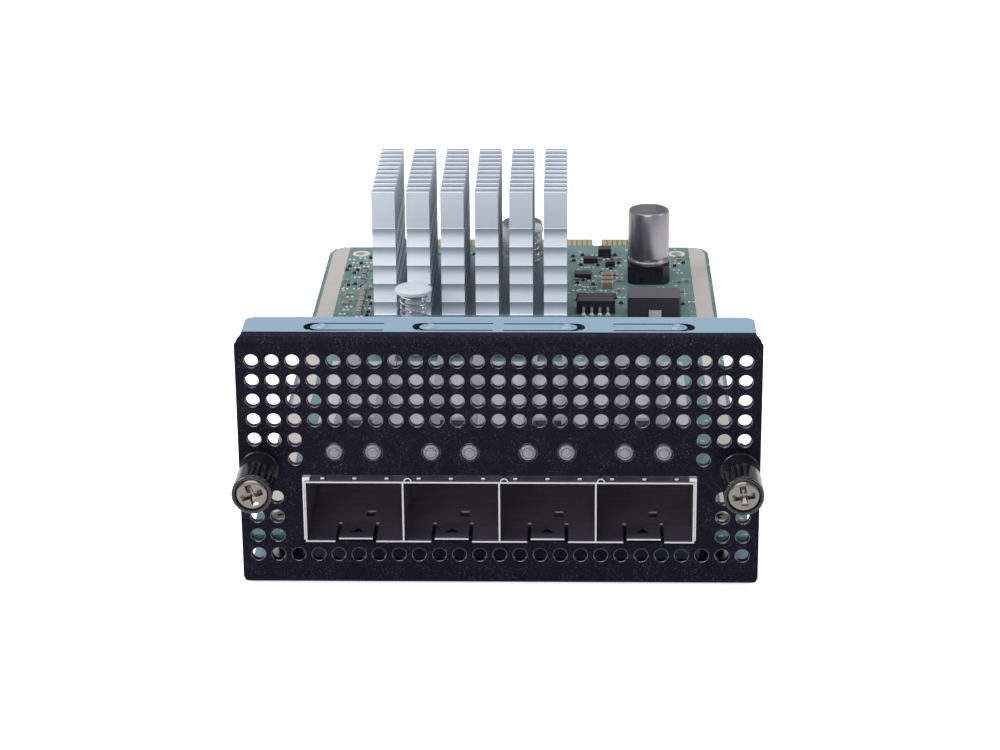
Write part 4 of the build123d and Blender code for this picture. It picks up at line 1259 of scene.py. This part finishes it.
@dataclass
class Thumbscrew:
    """A captive thumbscrew: ribbed knob, cross-recessed screw, ferrule, ring and spring.

    Attributes:
        side: "left" or "right".
        sign: -1 for left, 1 for right.
        smooth: direction of the knob's smooth quarter, in degrees from +X seen from the front.
        inset: its axis from the bezel's side.
        height: its axis above the module's underside.
        front: where its head's face stands, the bezel's face being 0.
        rib_step: degrees from one rib to the next.
        seat: where the spring bears inside the knob.
        travel: how far it can be pushed; not used.
    """

    side: str
    sign: int
    smooth: float
    inset: float = SCREW_INSET
    height: float = SCREW_HEIGHT
    front: float = -9.9
    knob_radius: float = 2.92
    knob_length: float = 5.8
    ribs: int = 15
    rib_step: float = 18.0
    seat: float = -8.2
    travel: float = 3.2

    @property
    def x(self) -> float:
        """Place of the screw's axis across the bezel."""
        return self.sign * (BEZEL_WIDTH / 2 - self.inset)

    def rim(self, radius: float, groove: float) -> list[Point2]:
        """Outline of the knob seen from the front: grooves, and a smooth quarter.

        Args:
            radius: radius over the ribs.
            groove: depth of the grooves.

        Returns:
            Its corners about the axis.
        """
        polar = []
        for index in range(self.ribs):
            middle = self.smooth + 180 + (index - (self.ribs - 1) / 2) * self.rib_step
            polar += [(radius - 0.05, middle - 7.4), (radius, middle - 6.2), (radius, middle - 4.6),
                      (radius - groove * 0.7, middle - 2.8), (radius - groove, middle),
                      (radius - groove * 0.7, middle + 2.8), (radius, middle + 4.6),
                      (radius, middle + 6.2), (radius - 0.05, middle + 7.4)]
        polar += [(radius, self.smooth - 42 + 6 * step) for step in range(15)]
        return [(r * math.cos(math.radians(a)), r * math.sin(math.radians(a))) for r, a in polar]

    def knob(self) -> None:
        """Builds the ribbed sleeve: full ribs behind, a plain rolled rim in front."""
        mesh = bmesh.new()
        front, rear = self.front, self.front + self.knob_length
        wide, cut = self.knob_radius, 0.42
        levels = [(rear, 2.66, 0.0), (rear - 0.25, wide, cut), (front + 0.8, wide, cut),
                  (front + 0.62, wide, 0.0), (front + 0.5, wide - 0.07, 0.0),
                  (front + 0.38, wide, 0.0), (front + 0.14, wide, 0.0),
                  (front + 0.03, wide - 0.1, 0.0), (front, wide - 0.2, 0.0),
                  (front + 0.04, 2.52, 0.0), (front + 0.2, 2.41, 0.0), (front + 0.95, 2.38, 0.0)]
        rings = [[mesh.verts.new((self.x + u, y, self.height + v))
                  for u, v in self.rim(radius, groove)] for y, radius, groove in levels]
        bore = [(rear, 2.38), (self.seat, 2.38), (self.seat, 1.55), (front + 1.0, 1.55),
                (front + 1.0, 2.38)]
        bridge(mesh, rings)
        inner = [[mesh.verts.new((self.x + radius * math.cos(math.atan2(v, u)), y,
                                  self.height + radius * math.sin(math.atan2(v, u))))
                  for u, v in self.rim(wide, 0.0)] for y, radius in bore]
        for joined in ((inner[0], rings[0]), inner, (inner[-1], rings[-1])):
            bridge(mesh, joined)
        piece = new_piece(f"{self.side}_ribbed_knob", mesh, 38.0)
        finish_piece(piece, KNOB_PLASTIC, f"{self.side}_thumbscrew", [f"{self.side}_knob"])

    def screw(self) -> None:
        """Builds the bright screw: recessed head, shank, ring groove and threaded tip."""
        tip = drawn_box(f"{self.side}_screw")[1].y
        mesh = bmesh.new()
        head = [(0, 0.02), (1.2, 0.04), (1.95, 0.1), (2.2, 0.19), (2.36, 0.36), (2.36, 1.0),
                (1.5, 1.0)]
        profile = [(radius, self.front + depth) for radius, depth in head]
        profile += [(1.5, 1.5), (1.2, 1.5), (1.2, 2.2), (1.24, 2.2), (1.24, tip - 0.4), (0.9, tip),
                    (0, tip)]
        add_lathe(mesh, profile, (self.x, 0, self.height), "Y", 40)
        piece = new_piece(f"{self.side}_cross_screw", mesh)
        cross_recess(piece, (self.x, self.front + 0.06, self.height), "Y", 3.3, 0.95, 0.85,
                     20.0 if self.sign < 0 else 8.0)
        finish_piece(piece, BRIGHT_SCREW, f"{self.side}_thumbscrew", [f"{self.side}_screw"])
        self.thread(tip)

    def thread(self, tip: float) -> None:
        """Winds the thread on the tip."""
        start, end = 2.35, tip - 0.45
        piece = COIL.apply(rule_piece(f"{self.side}_screw_thread", bmesh.new()), BRIGHT_SCREW,
                           Radius=1.27, Wire=0.22, Turns=(end - start) / 0.5,
                           Height=end - start - 0.2, Sides=4)
        spot = Matrix.Translation((self.x, start + 0.1, self.height))
        placed(piece, spot @ Matrix.Rotation(-math.pi / 2, 4, "X"))
        finish_piece(piece, BRIGHT_SCREW, f"{self.side}_thumbscrew")

    def ferrule(self) -> None:
        """Builds the barrel and flange that are pressed into the bezel."""
        mesh = bmesh.new()
        add_lathe(mesh, [(1.95, -0.5), (1.95, -4.65), (2.02, -4.8), (2.13, -4.8), (2.2, -4.7),
                         (2.2, -0.75), (2.8, -0.75), (2.9, -0.65), (2.9, 0), (2.2, 0), (2.2, 1.35),
                         (1.6, 1.35), (1.6, -0.5), (1.95, -0.5)],
                  (self.x, 0, self.height), "Y", 36, capped=False)
        piece = new_piece(f"{self.side}_panel_ferrule", mesh)
        finish_piece(piece, FERRULE_PAINT, "module", [f"{self.side}_ferrule"])

    def ring(self) -> None:
        """Builds the open snap ring that holds the screw captive."""
        low, high = drawn_box(f"{self.side}_retaining_ring")
        mesh = bmesh.new()
        steps, gap = 30, math.radians(50)
        rings = []
        for step in range(steps + 1):
            angle = -math.pi / 2 + gap / 2 + (2 * math.pi - gap) * step / steps
            section = ((1.34, low.y), (2.2, low.y), (2.2, high.y), (1.34, high.y))
            rings.append([mesh.verts.new((self.x + r * math.cos(angle), y,
                                          self.height + r * math.sin(angle))) for r, y in section])
        mesh.faces.new(rings[0])
        mesh.faces.new(rings[-1])
        bridge(mesh, rings)
        piece = new_piece(f"{self.side}_snap_ring", mesh)
        finish_piece(piece, SPRING_WIRE, f"{self.side}_ring", [f"{self.side}_retaining_ring"])

    def spring(self) -> None:
        """Winds the spring between knob and ferrule."""
        fixed, free = -0.5, self.seat
        piece = COIL.apply(rule_piece(f"{self.side}_screw_spring", bmesh.new()), SPRING_WIRE,
                           Radius=1.74, Wire=0.13, Turns=7.0, Height=fixed - free - 0.3, Sides=6)
        spot = Matrix.Translation((self.x, fixed - 0.15, self.height))
        placed(piece, spot @ Matrix.Rotation(math.pi / 2, 4, "X"))
        finish_piece(piece, SPRING_WIRE, "module", [f"{self.side}_thumbscrew_spring"])
        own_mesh(piece)

    def build(self) -> None:
        """Builds every piece of one thumbscrew."""
        self.knob()
        self.screw()
        self.ferrule()
        self.ring()
        self.spring()


@dataclass
class HeatSink:
    """Extruded sink sawn into pins, with coved faces between bright ridges."""

    columns: int = 6
    rows: int = 11
    saw: float = 1.95
    fin: float = 1.0
    pitch: float = 2.58
    first: float = 83.4
    base: float = SINK_BASE
    first_ridge: float = 15.0
    ridge_step: float = 3.43
    ridges: int = 4
    plain: float = 28.72
    cove: float = 0.34

    def side(self, height: float) -> list[Point2]:
        """One face of a fin from base to top, as (depth into the fin, height)."""
        low = drawn_box("heat_sink")[0].z + self.base
        points: list[Point2] = [(0.0, low - 0.1)]
        edges = [low - 1.0] + [self.first_ridge + i * self.ridge_step for i in range(self.ridges)]
        for bottom, top in zip(edges, edges[1:] + [self.plain]):
            for step in range(1, 12):
                share = step / 12
                z = bottom + (top - bottom) * share
                if low < z < top - 0.2:
                    bulge = math.sin(math.pi * share ** 1.15)
                    points.append((0.05 + (self.cove - 0.05) * bulge, z))
            points += [(0.0, top - 0.17), (0.0, top - 0.02), (0.05, top + 0.03)]
        points += [(0.02, self.plain + 0.4), (0.02, height - 0.12), (0.12, height)]
        return points

    def pins(self) -> bpy.types.Object:
        """Builds the pins as one repeated shape."""
        low, high = drawn_box("heat_sink")
        width = (high.x - low.x - (self.columns - 1) * self.saw) / self.columns
        face = self.side(high.z)
        outline = list(face)
        for y, z in reversed(face):
            top = 0.12 if z >= high.z else 0
            outline.append((self.fin - y * (0.3 if z > self.plain else 0.0) - top, z))
        mesh = bmesh.new()
        add_prism(mesh, [(-width / 2, y - self.fin / 2, z) for y, z in outline], (width, 0, 0))
        bmesh.ops.recalc_face_normals(mesh, faces=mesh.faces)
        piece = GRID.apply(rule_piece("sink_pins", mesh), EXTRUDED, Columns=self.columns,
                           Rows=self.rows, Pitch_X=width + self.saw, Pitch_Y=self.pitch)
        middle = (self.rows - 1) * self.pitch / 2 + self.first + self.fin / 2
        placed(piece, Matrix.Translation(((low.x + high.x) / 2, middle, 0)), 20.0)
        return finish_piece(piece, EXTRUDED, stands_for=["heat_sink"])

    def plinth(self) -> bpy.types.Object:
        """Builds the base with its ledges."""
        low, high = drawn_box("heat_sink")
        mesh = bmesh.new()
        add_block(mesh, low, (high.x, high.y, low.z + self.base), 0.25)
        return finish_piece(new_piece("sink_base", mesh, 50.0), EXTRUDED)

    def build(self) -> None:
        """Builds the sink."""
        self.pins()
        self.plinth()


@dataclass
class PushPin:
    """A white push pin and the spring under its head."""

    place: str
    x: float
    y: float
    travel: float = 1.5

    def build(self) -> None:
        """Builds the pin and its spring."""
        low, high = drawn_box(f"push_pin_{self.place}")
        ledge = drawn_box("heat_sink")[0].z + SINK_BASE
        under = drawn_box("circuit_board")[0].z - 0.05
        neck = high.z - 0.9
        mesh = bmesh.new()
        add_lathe(mesh, [(0, low.z), (0.8, low.z), (2.1, under - 0.6), (2.1, under - 0.1),
                         (1.5, under), (1.5, neck), (3.15, neck), (3.25, neck + 0.1),
                         (3.25, high.z - 0.3), (3.0, high.z - 0.06), (2.3, high.z), (0, high.z)],
                  (self.x, self.y, 0), sides=40)
        piece = new_piece(f"nylon_pin_{self.place}", mesh, 40.0)
        finish_piece(piece, NYLON, f"{self.place}_push_pin", [f"push_pin_{self.place}"])
        coil = COIL.apply(rule_piece(f"pin_coil_{self.place}", bmesh.new()), SPRING_WIRE,
                          Radius=2.24, Wire=0.24, Turns=4.6, Height=neck - ledge - 0.5, Sides=10)
        placed(coil, Matrix.Translation((self.x, self.y, ledge + 0.25)))
        finish_piece(coil, SPRING_WIRE, "module", [f"push_pin_spring_{self.place}"])
        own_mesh(coil)


@dataclass
class LightGuides:
    """Clear twin light guides: domed heads, bars over the cage, legs down to the lamps."""

    height: float = LIGHT_HEIGHT
    radius: float = 1.24
    offset: float = LIGHT_OFFSET
    bar: float = 0.85
    leg_y: float = 52.3
    feet: Point2 = (11.0, 44.0)

    def guide(self, number: int, port_x: float) -> None:
        """Builds one port's pair."""
        lamp = drawn_box("status_leds")[1].z
        mesh = bmesh.new()
        for side in (-1, 1):
            x = port_x + side * self.offset
            add_lathe(mesh, [(0, -0.5), (0.5, -0.46), (0.72, -0.36), (0.8, -0.24), (0.88, -0.36),
                             (1.0, -0.38), (1.14, -0.2), (self.radius, 0.1), (self.radius, 2.9),
                             (0.9, 3.0), (0, 3.0)], (x, 0, self.height), "Y", 32)
            top, bottom = self.height + self.bar, self.height - self.bar
            side_view = [(2.8, bottom), (2.8, top), (self.leg_y - self.bar, top),
                         (self.leg_y + self.bar, bottom), (self.leg_y + self.bar, lamp + 0.2),
                         (self.leg_y - self.bar, lamp + 0.2), (self.leg_y - self.bar, bottom)]
            add_prism(mesh, [(x - self.bar, y, z) for y, z in side_view], (2 * self.bar, 0, 0))
            for y in self.feet:
                add_block(mesh, (x - 0.6, y, OUTSIDE_ROOF_Z + 0.01),
                          (x + 0.6, y + 1.4, bottom + 0.1), 0.1)
        for y in self.feet:
            add_block(mesh, (port_x - self.offset + 0.7, y, self.height - 0.6),
                      (port_x + self.offset - 0.7, y + 1.4, self.height + 0.6), 0.1)
        piece = new_piece(f"light_guide_{number}", mesh, 30.0)
        finish_piece(piece, CLEAR, stands_for=[f"light_pipe_{number}"])

    def build(self) -> None:
        """Builds all four pairs."""
        for number, x in enumerate(PORT_X, 1):
            self.guide(number, x)


@dataclass
class Capacitor:
    """A can capacitor: crimped can with a dark polarity segment on its top."""

    number: int
    radius: float = 3.9

    def build(self) -> None:
        """Builds the can and the mark."""
        low, high = drawn_box(f"capacitor_{self.number}_can")
        x, y = (low.x + high.x) / 2, (low.y + high.y) / 2
        wide, foot, top, crimp = self.radius, low.z, high.z, low.z + 1.1
        profile = [(0, foot), (wide - 0.1, foot), (wide, foot + 0.15), (wide, crimp - 0.4),
                   (wide - 0.18, crimp - 0.2), (wide - 0.38, crimp), (wide - 0.18, crimp + 0.2),
                   (wide, crimp + 0.4), (wide, top - 0.5), (wide - 0.15, top - 0.15),
                   (wide - 0.5, top), (wide - 0.75, top), (wide - 0.85, top - 0.06),
                   (0, top - 0.06)]
        mesh = bmesh.new()
        add_lathe(mesh, profile, (x, y, 0), sides=48)
        finish_piece(new_piece(f"crimped_can_{self.number}", mesh, 35.0), CAN_METAL,
                     stands_for=[f"capacitor_{self.number}_can"])
        self.mark(x, y, high.z - 0.055)

    def mark(self, x: float, y: float, z: float) -> None:
        """Prints the plain dark segment that marks one terminal."""
        mesh = bmesh.new()
        reach = self.radius - 0.9
        arc = [(x + reach * math.cos(a), y + reach * math.sin(a), z)
               for a in (math.radians(-62 + 124 * i / 14) for i in range(15))]
        add_prism(mesh, arc, (0, 0, 0.02))
        finish_piece(new_piece(f"polarity_segment_{self.number}", mesh), CAN_MARK)


@dataclass
class SmallParts:
    """Chip parts, their tinned ends, solder and bare pads on the board.

    Attributes:
        seed: of the random draws that place the tiny parts.
        fields: where they lie, as (x from, x to, y from, y to, how many).
    """

    seed: int = 4
    fields: tuple[tuple[float, float, float, float, int], ...] = (
        (-33.0, -26.8, 84.0, 131.0, 70), (10.8, 20.0, 103.6, 133.0, 60),
        (11.0, 20.0, 84.0, 96.0, 14), (20.5, 32.8, 84.0, 94.5, 16),
        (20.0, 33.0, 103.0, 113.5, 12), (30.0, 33.0, 114.0, 131.0, 9),
        (20.0, 29.0, 125.0, 131.0, 10), (-22.0, 12.0, 128.5, 134.5, 30))

    @staticmethod
    def capped(names: tuple[str, str], spots: Sequence[Point3], half: Point2, height: float,
               finish: Finish, edge: float, step: Point2, cap: Point2,
               stands_for: Iterable[str] = ()) -> None:
        """Stamps one kind of part and the tinned ends on both its sides.

        Args:
            names: name of the bodies' piece, and of the ends' piece.
            spots: places in drawing millimetres.
            half: half a body's width and half its length.
            height: height of body and ends.
            finish: the body's surface.
            edge: rounding of the edges.
            step: from a body's middle to an end's middle, across and along.
            cap: half an end's width and half its length.
            stands_for: CAD nodes that the bodies replace.
        """
        stamp(names[0], spots, half, height, finish, edge, stands_for)
        ends = [(x + s * step[0], y + s * step[1], z) for x, y, z in spots for s in (-1, 1)]
        stamp(names[1], ends, cap, height, TINNED, edge)

    def chips(self) -> None:
        """Builds the chip capacitors and resistors with their end caps."""
        top = drawn_box("circuit_board")[1].z
        upright = [(-28.8, y, top) for y in (99, 102, 105, 108, 111)]
        wide = [(17.2, y, top) for y in (113.6, 116.0, 118.4)]
        small = [(x, 129.0, top) for x in (-24, -20, 6, 9)]
        across = [(x, 132.5, top) for x in (-22, -18, -14, -10, 24, 27)]
        along = [(-29.4, y, top) for y in (117, 120, 123)]
        self.capped(("chip_capacitors_side", "ends_side"), upright, (0.5, 0.62), 0.9, TAN_CERAMIC,
                    0.08, (0.0, 0.78), (0.5, 0.22), ["ceramic_capacitors"])
        self.capped(("chip_capacitors_wide", "ends_wide"), wide, (0.8, 0.75), 1.2, TAN_CERAMIC,
                    0.08, (1.0, 0.0), (0.2, 0.75))
        self.capped(("chip_capacitors_rear", "ends_rear"), small, (0.5, 0.45), 0.8, TAN_CERAMIC,
                    0.06, (0.65, 0.0), (0.15, 0.45))
        self.capped(("resistors_rear", "resistor_ends_rear"), across, (0.52, 0.45), 0.5,
                    CHIP_EPOXY, 0.05, (0.66, 0.0), (0.14, 0.45), ["chip_resistors"])
        self.capped(("resistors_side", "resistor_ends_side"), along, (0.45, 0.52), 0.5,
                    CHIP_EPOXY, 0.05, (0.0, 0.66), (0.45, 0.14))

    def solder(self) -> None:
        """Builds the fillets at the regulator's feet and the tinned rings round the rear holes."""
        top = drawn_box("circuit_board")[1].z
        feet = [(14.95 + (i - 1.5) * 1.48, 97.6, top) for i in range(4)]
        stamp("solder_fillets", feet, (0.42, 0.4), 0.5, SOLDER, 0.16)
        mesh = bmesh.new()
        for side in (-1, 1):
            add_lathe(mesh, [(1.04, -1.5), (1.04, 0.03), (1.7, 0.03), (1.75, -0.02),
                             (1.09, -0.02), (1.09, -1.5), (1.04, -1.5)],
                      (side * 31.0, 133.4, top), sides=28, capped=False)
        finish_piece(new_piece("rear_hole_rings", mesh), SOLDER)

    def free_spots(self) -> list[tuple[float, float, int]]:
        """Places and kinds for tiny parts, from the fixed seed, clear of the larger ones."""
        rng = random.Random(self.seed)
        taken = []
        for node, grown in (("regulator_chip", 1.6), ("power_inductor", 0.9),
                            ("capacitor_1_base", 0.8), ("capacitor_2_base", 0.8),
                            ("flash_chip", 0.8), ("clock_crystal", 0.8)):
            low, high = drawn_box(node)
            taken.append((low.x - grown, low.y - grown, high.x + grown, high.y + grown))
        taken += [(15.2, 112.4, 19.2, 119.6), (15.2, 130.5, 18.6, 133.6),
                  (12.2, 126.9, 16.0, 129.5), (16.5, 124.5, 19.3, 126.9),
                  (10.5, 117.6, 14.7, 120.8), (-30.3, 97.4, -27.9, 112.8),
                  (-30.5, 115.6, -28.3, 124.4), (28.6, 131.0, 33.4, 135.8),
                  (-33.4, 131.0, -28.6, 135.8), (23, 131.6, 28.2, 133.4)]
        spots = []
        for x0, x1, y0, y1, count in self.fields:
            for _ in range(count * 4):
                x, y = rng.uniform(x0, x1), rng.uniform(y0, y1)
                clear = all(not (a < x < c and b < y < d) for a, b, c, d in taken)
                if clear and all(abs(x - u) > 1.15 or abs(y - v) > 1.3 for u, v, _ in spots):
                    spots.append((x, y, rng.randrange(6)))
                    count -= 1
                if count == 0:
                    break
        return spots

    def scatter(self) -> None:
        """Sets the tiny parts and bare pads that crowd the supply and the left edge."""
        top = drawn_box("circuit_board")[1].z
        spots = [(x, y, top, kind) for x, y, kind in self.free_spots()]
        for name, kinds, finish, height in (("tiny_dark_parts", (0, 1), CHIP_EPOXY, 0.42),
                                            ("tiny_tan_parts", (2,), TAN_CERAMIC, 0.5)):
            chosen = [(x, y, z) for x, y, z, kind in spots if kind in kinds]
            self.capped((name, name + "_ends"), chosen, (0.34, 0.3), height, finish, 0.05,
                        (0.47, 0.0), (0.14, 0.32))
        pads = [(x + s * 0.42, y, z) for x, y, z, kind in spots if kind > 2 for s in (-1, 1)]
        stamp("bare_pads", pads, (0.24, 0.33), 0.12, SOLDER, 0.05)

    def build(self) -> None:
        """Builds the small parts."""
        self.chips()
        self.solder()
        self.scatter()


@dataclass(frozen=True)
class PlainNodes:
    """The CAD nodes' finishes, by the nodes' names.

    Attributes:
        families: a finish and the names of the nodes that have it; {side} is left and right.
    """

    families: tuple[tuple[Finish, str], ...] = (
        (BOARD_MASK, "circuit_board"), (TINNED_RAIL, "guide_strips"), (GOLD, "edge_contacts"),
        (CAGE_STEEL, "cage_top cage_floor cage_divider_1 cage_divider_2 cage_divider_3"),
        (COLLAR_METAL, "cage_spring_collar"),
        (HOST_CONNECTOR, "port_connector_1 port_connector_2 port_connector_3 port_connector_4"),
        (LAMP, "status_leds"), (PAD_GREY, "thermal_pad"), (CHOKE, "power_inductor"),
        (CHIP_EPOXY, "controller_chip regulator_chip power_transistors flash_chip chip_resistors"),
        (TINNED, "regulator_leads clock_crystal"), (SOLDER, "inductor_terminals"),
        (BLACK_MOULDING, "capacitor_1_base capacitor_2_base"),
        (CAN_METAL, "capacitor_1_can capacitor_2_can"), (TAN_CERAMIC, "ceramic_capacitors"),
        (CLEAR, "light_pipe_1 light_pipe_2 light_pipe_3 light_pipe_4"),
        (BLACK_PAINT, "front_bezel"), (BRIGHT_SCREW, "board_screws {side}_screw"),
        (EXTRUDED, "heat_sink"), (NYLON, "push_pin_front push_pin_rear"),
        (SPRING_WIRE, "push_pin_spring_front push_pin_spring_rear {side}_retaining_ring "
                      "{side}_thumbscrew_spring"),
        (KNOB_PLASTIC, "{side}_knob"), (FERRULE_PAINT, "{side}_ferrule"),
    )

    def build(self) -> None:
        """Dresses every CAD node, those that a piece replaces too."""
        finishes = {name: finish for finish, names in self.families for side in ("left", "right")
                    for name in names.format(side=side).split()}
        for name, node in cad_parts.items():
            finish = finishes[name]
            node.data.materials.clear()
            node.data.materials.append(finish.material())
            log.info("node %s has %s", name, finish.name)


# Studio

@dataclass
class Studio:
    """Pale floor, soft lamps and the camera at the photograph's angle."""

    camera_place: Point3 = (0.0113, -0.4210, 0.1717)
    yaw: float = 1.764
    pitch: float = 19.225
    roll: float = -0.517
    lens: float = 94.13
    shift: Point2 = (0.0, -0.095)
    floor_glow: float = 0.72
    world_level: float = 0.36

    def floor(self) -> None:
        """Lays the floor, white to the camera and pale to everything else."""
        mesh = bmesh.new()
        bmesh.ops.create_grid(mesh, x_segments=1, y_segments=1, size=3.0)
        data = bpy.data.meshes.new("studio_floor")
        mesh.to_mesh(data)
        mesh.free()
        floor = bpy.data.objects.new("studio_floor", data)
        bpy.context.scene.collection.objects.link(floor)
        floor.location.z = -0.0002
        tree = ShaderTree("pale_floor")
        tree.set(Roughness=0.9)
        tree.colour(tree.mix(tree.noise(20.0), srgb(236, 236, 238), srgb(240, 240, 241)))
        path = tree.nodes.new("ShaderNodeLightPath")
        glow = tree.math("MULTIPLY", path.outputs["Is Camera Ray"], self.floor_glow)
        tree.shader.inputs["Emission Color"].default_value = (1.0, 1.0, 1.0, 1.0)
        tree.links.new(glow, tree.shader.inputs["Emission Strength"])
        data.materials.append(tree.material)

    def world(self) -> None:
        """White where the camera, a reflection or clear plastic looks; a plain level elsewhere."""
        world = bpy.data.worlds.new("studio")
        bpy.context.scene.world = world
        world.use_nodes = True
        nodes, links = world.node_tree.nodes, world.node_tree.links
        nodes.clear()
        path = nodes.new("ShaderNodeLightPath")
        seen = nodes.new("ShaderNodeMath")
        seen.operation = "MAXIMUM"
        links.new(path.outputs["Is Camera Ray"], seen.inputs[0])
        links.new(path.outputs["Is Transmission Ray"], seen.inputs[1])
        lit = nodes.new("ShaderNodeBackground")
        lit.inputs["Color"].default_value = (0.93, 0.96, 1.0, 1.0)
        lit.inputs["Strength"].default_value = self.world_level
        white = nodes.new("ShaderNodeBackground")
        white.inputs["Color"].default_value = (1.0, 1.0, 1.0, 1.0)
        white.inputs["Strength"].default_value = 1.0
        mix = nodes.new("ShaderNodeMixShader")
        output = nodes.new("ShaderNodeOutputWorld")
        links.new(seen.outputs[0], mix.inputs["Fac"])
        links.new(lit.outputs[0], mix.inputs[1])
        links.new(white.outputs[0], mix.inputs[2])
        links.new(mix.outputs[0], output.inputs["Surface"])

    @staticmethod
    def lamp(name: str, place: Point3, size: float, power: float, colour: Point3) -> None:
        """Hangs a square soft lamp that looks at the module.

        Args:
            name: the lamp's name.
            place: where it hangs, in metres.
            size: its width.
            power: its power in watts.
            colour: its light's colour.
        """
        data = bpy.data.lights.new(name, "AREA")
        data.size, data.energy, data.color = size, power, colour
        lamp = bpy.data.objects.new(name, data)
        bpy.context.scene.collection.objects.link(lamp)
        lamp.location = place
        aim = Vector((0, 0, 0.02)) - Vector(place)
        lamp.rotation_euler = aim.to_track_quat("-Z", "Y").to_euler()

    def camera(self) -> None:
        """Sets the camera as fitted to the photograph."""
        data = bpy.data.cameras.new("photo_camera")
        data.lens, data.sensor_width = self.lens, 36.0
        data.shift_x, data.shift_y = self.shift
        data.clip_start, data.clip_end = 0.01, 20.0
        camera = bpy.data.objects.new("photo_camera", data)
        bpy.context.scene.collection.objects.link(camera)
        yaw, pitch, roll = (math.radians(v) for v in (self.yaw, self.pitch, self.roll))
        right = Vector((math.cos(yaw), math.sin(yaw), 0.0))
        ahead = Vector((-math.sin(yaw) * math.cos(pitch), math.cos(yaw) * math.cos(pitch),
                        -math.sin(pitch)))
        up = right.cross(ahead)
        turned_right = right * math.cos(roll) + up * math.sin(roll)
        turned_up = up * math.cos(roll) - right * math.sin(roll)
        basis = Matrix((turned_right, turned_up, -ahead)).transposed().to_4x4()
        camera.matrix_world = Matrix.Translation(self.camera_place) @ basis
        bpy.context.scene.camera = camera

    def build(self) -> None:
        """Sets up floor, light and camera."""
        self.floor()
        self.world()
        self.lamp("softbox_above", (0.0, 0.1, 0.95), 0.9, 5.6, (0.98, 0.99, 1.0))
        self.lamp("key_upper_left", (-0.68, -0.28, 0.6), 0.45, 5.2, (1.0, 0.99, 0.97))
        self.lamp("fill_right", (0.75, -0.1, 0.45), 0.5, 2.2, (0.93, 0.96, 1.0))
        self.lamp("wide_front", (-0.15, -0.85, 0.5), 0.7, 3.0, (0.97, 0.98, 1.0))
        self.camera()
        bpy.context.scene.view_settings.view_transform = "Standard"


def main() -> None:
    """Dresses the CAD nodes, builds every sub-assembly and the studio."""
    PlainNodes().build()
    Bezel().build()
    BoardScrews().build()
    for side, sign, smooth in (("left", -1, 140.0), ("right", 1, 40.0)):
        Thumbscrew(side, sign, smooth).build()
    HeatSink().build()
    for place in ("front", "rear"):
        low, high = drawn_box(f"push_pin_{place}")
        PushPin(place, (low.x + high.x) / 2, (low.y + high.y) / 2).build()
    LightGuides().build()
    for number in (1, 2):
        Capacitor(number).build()
    SmallParts().build()
    Studio().build()


if __name__ == "__main__":
    main()
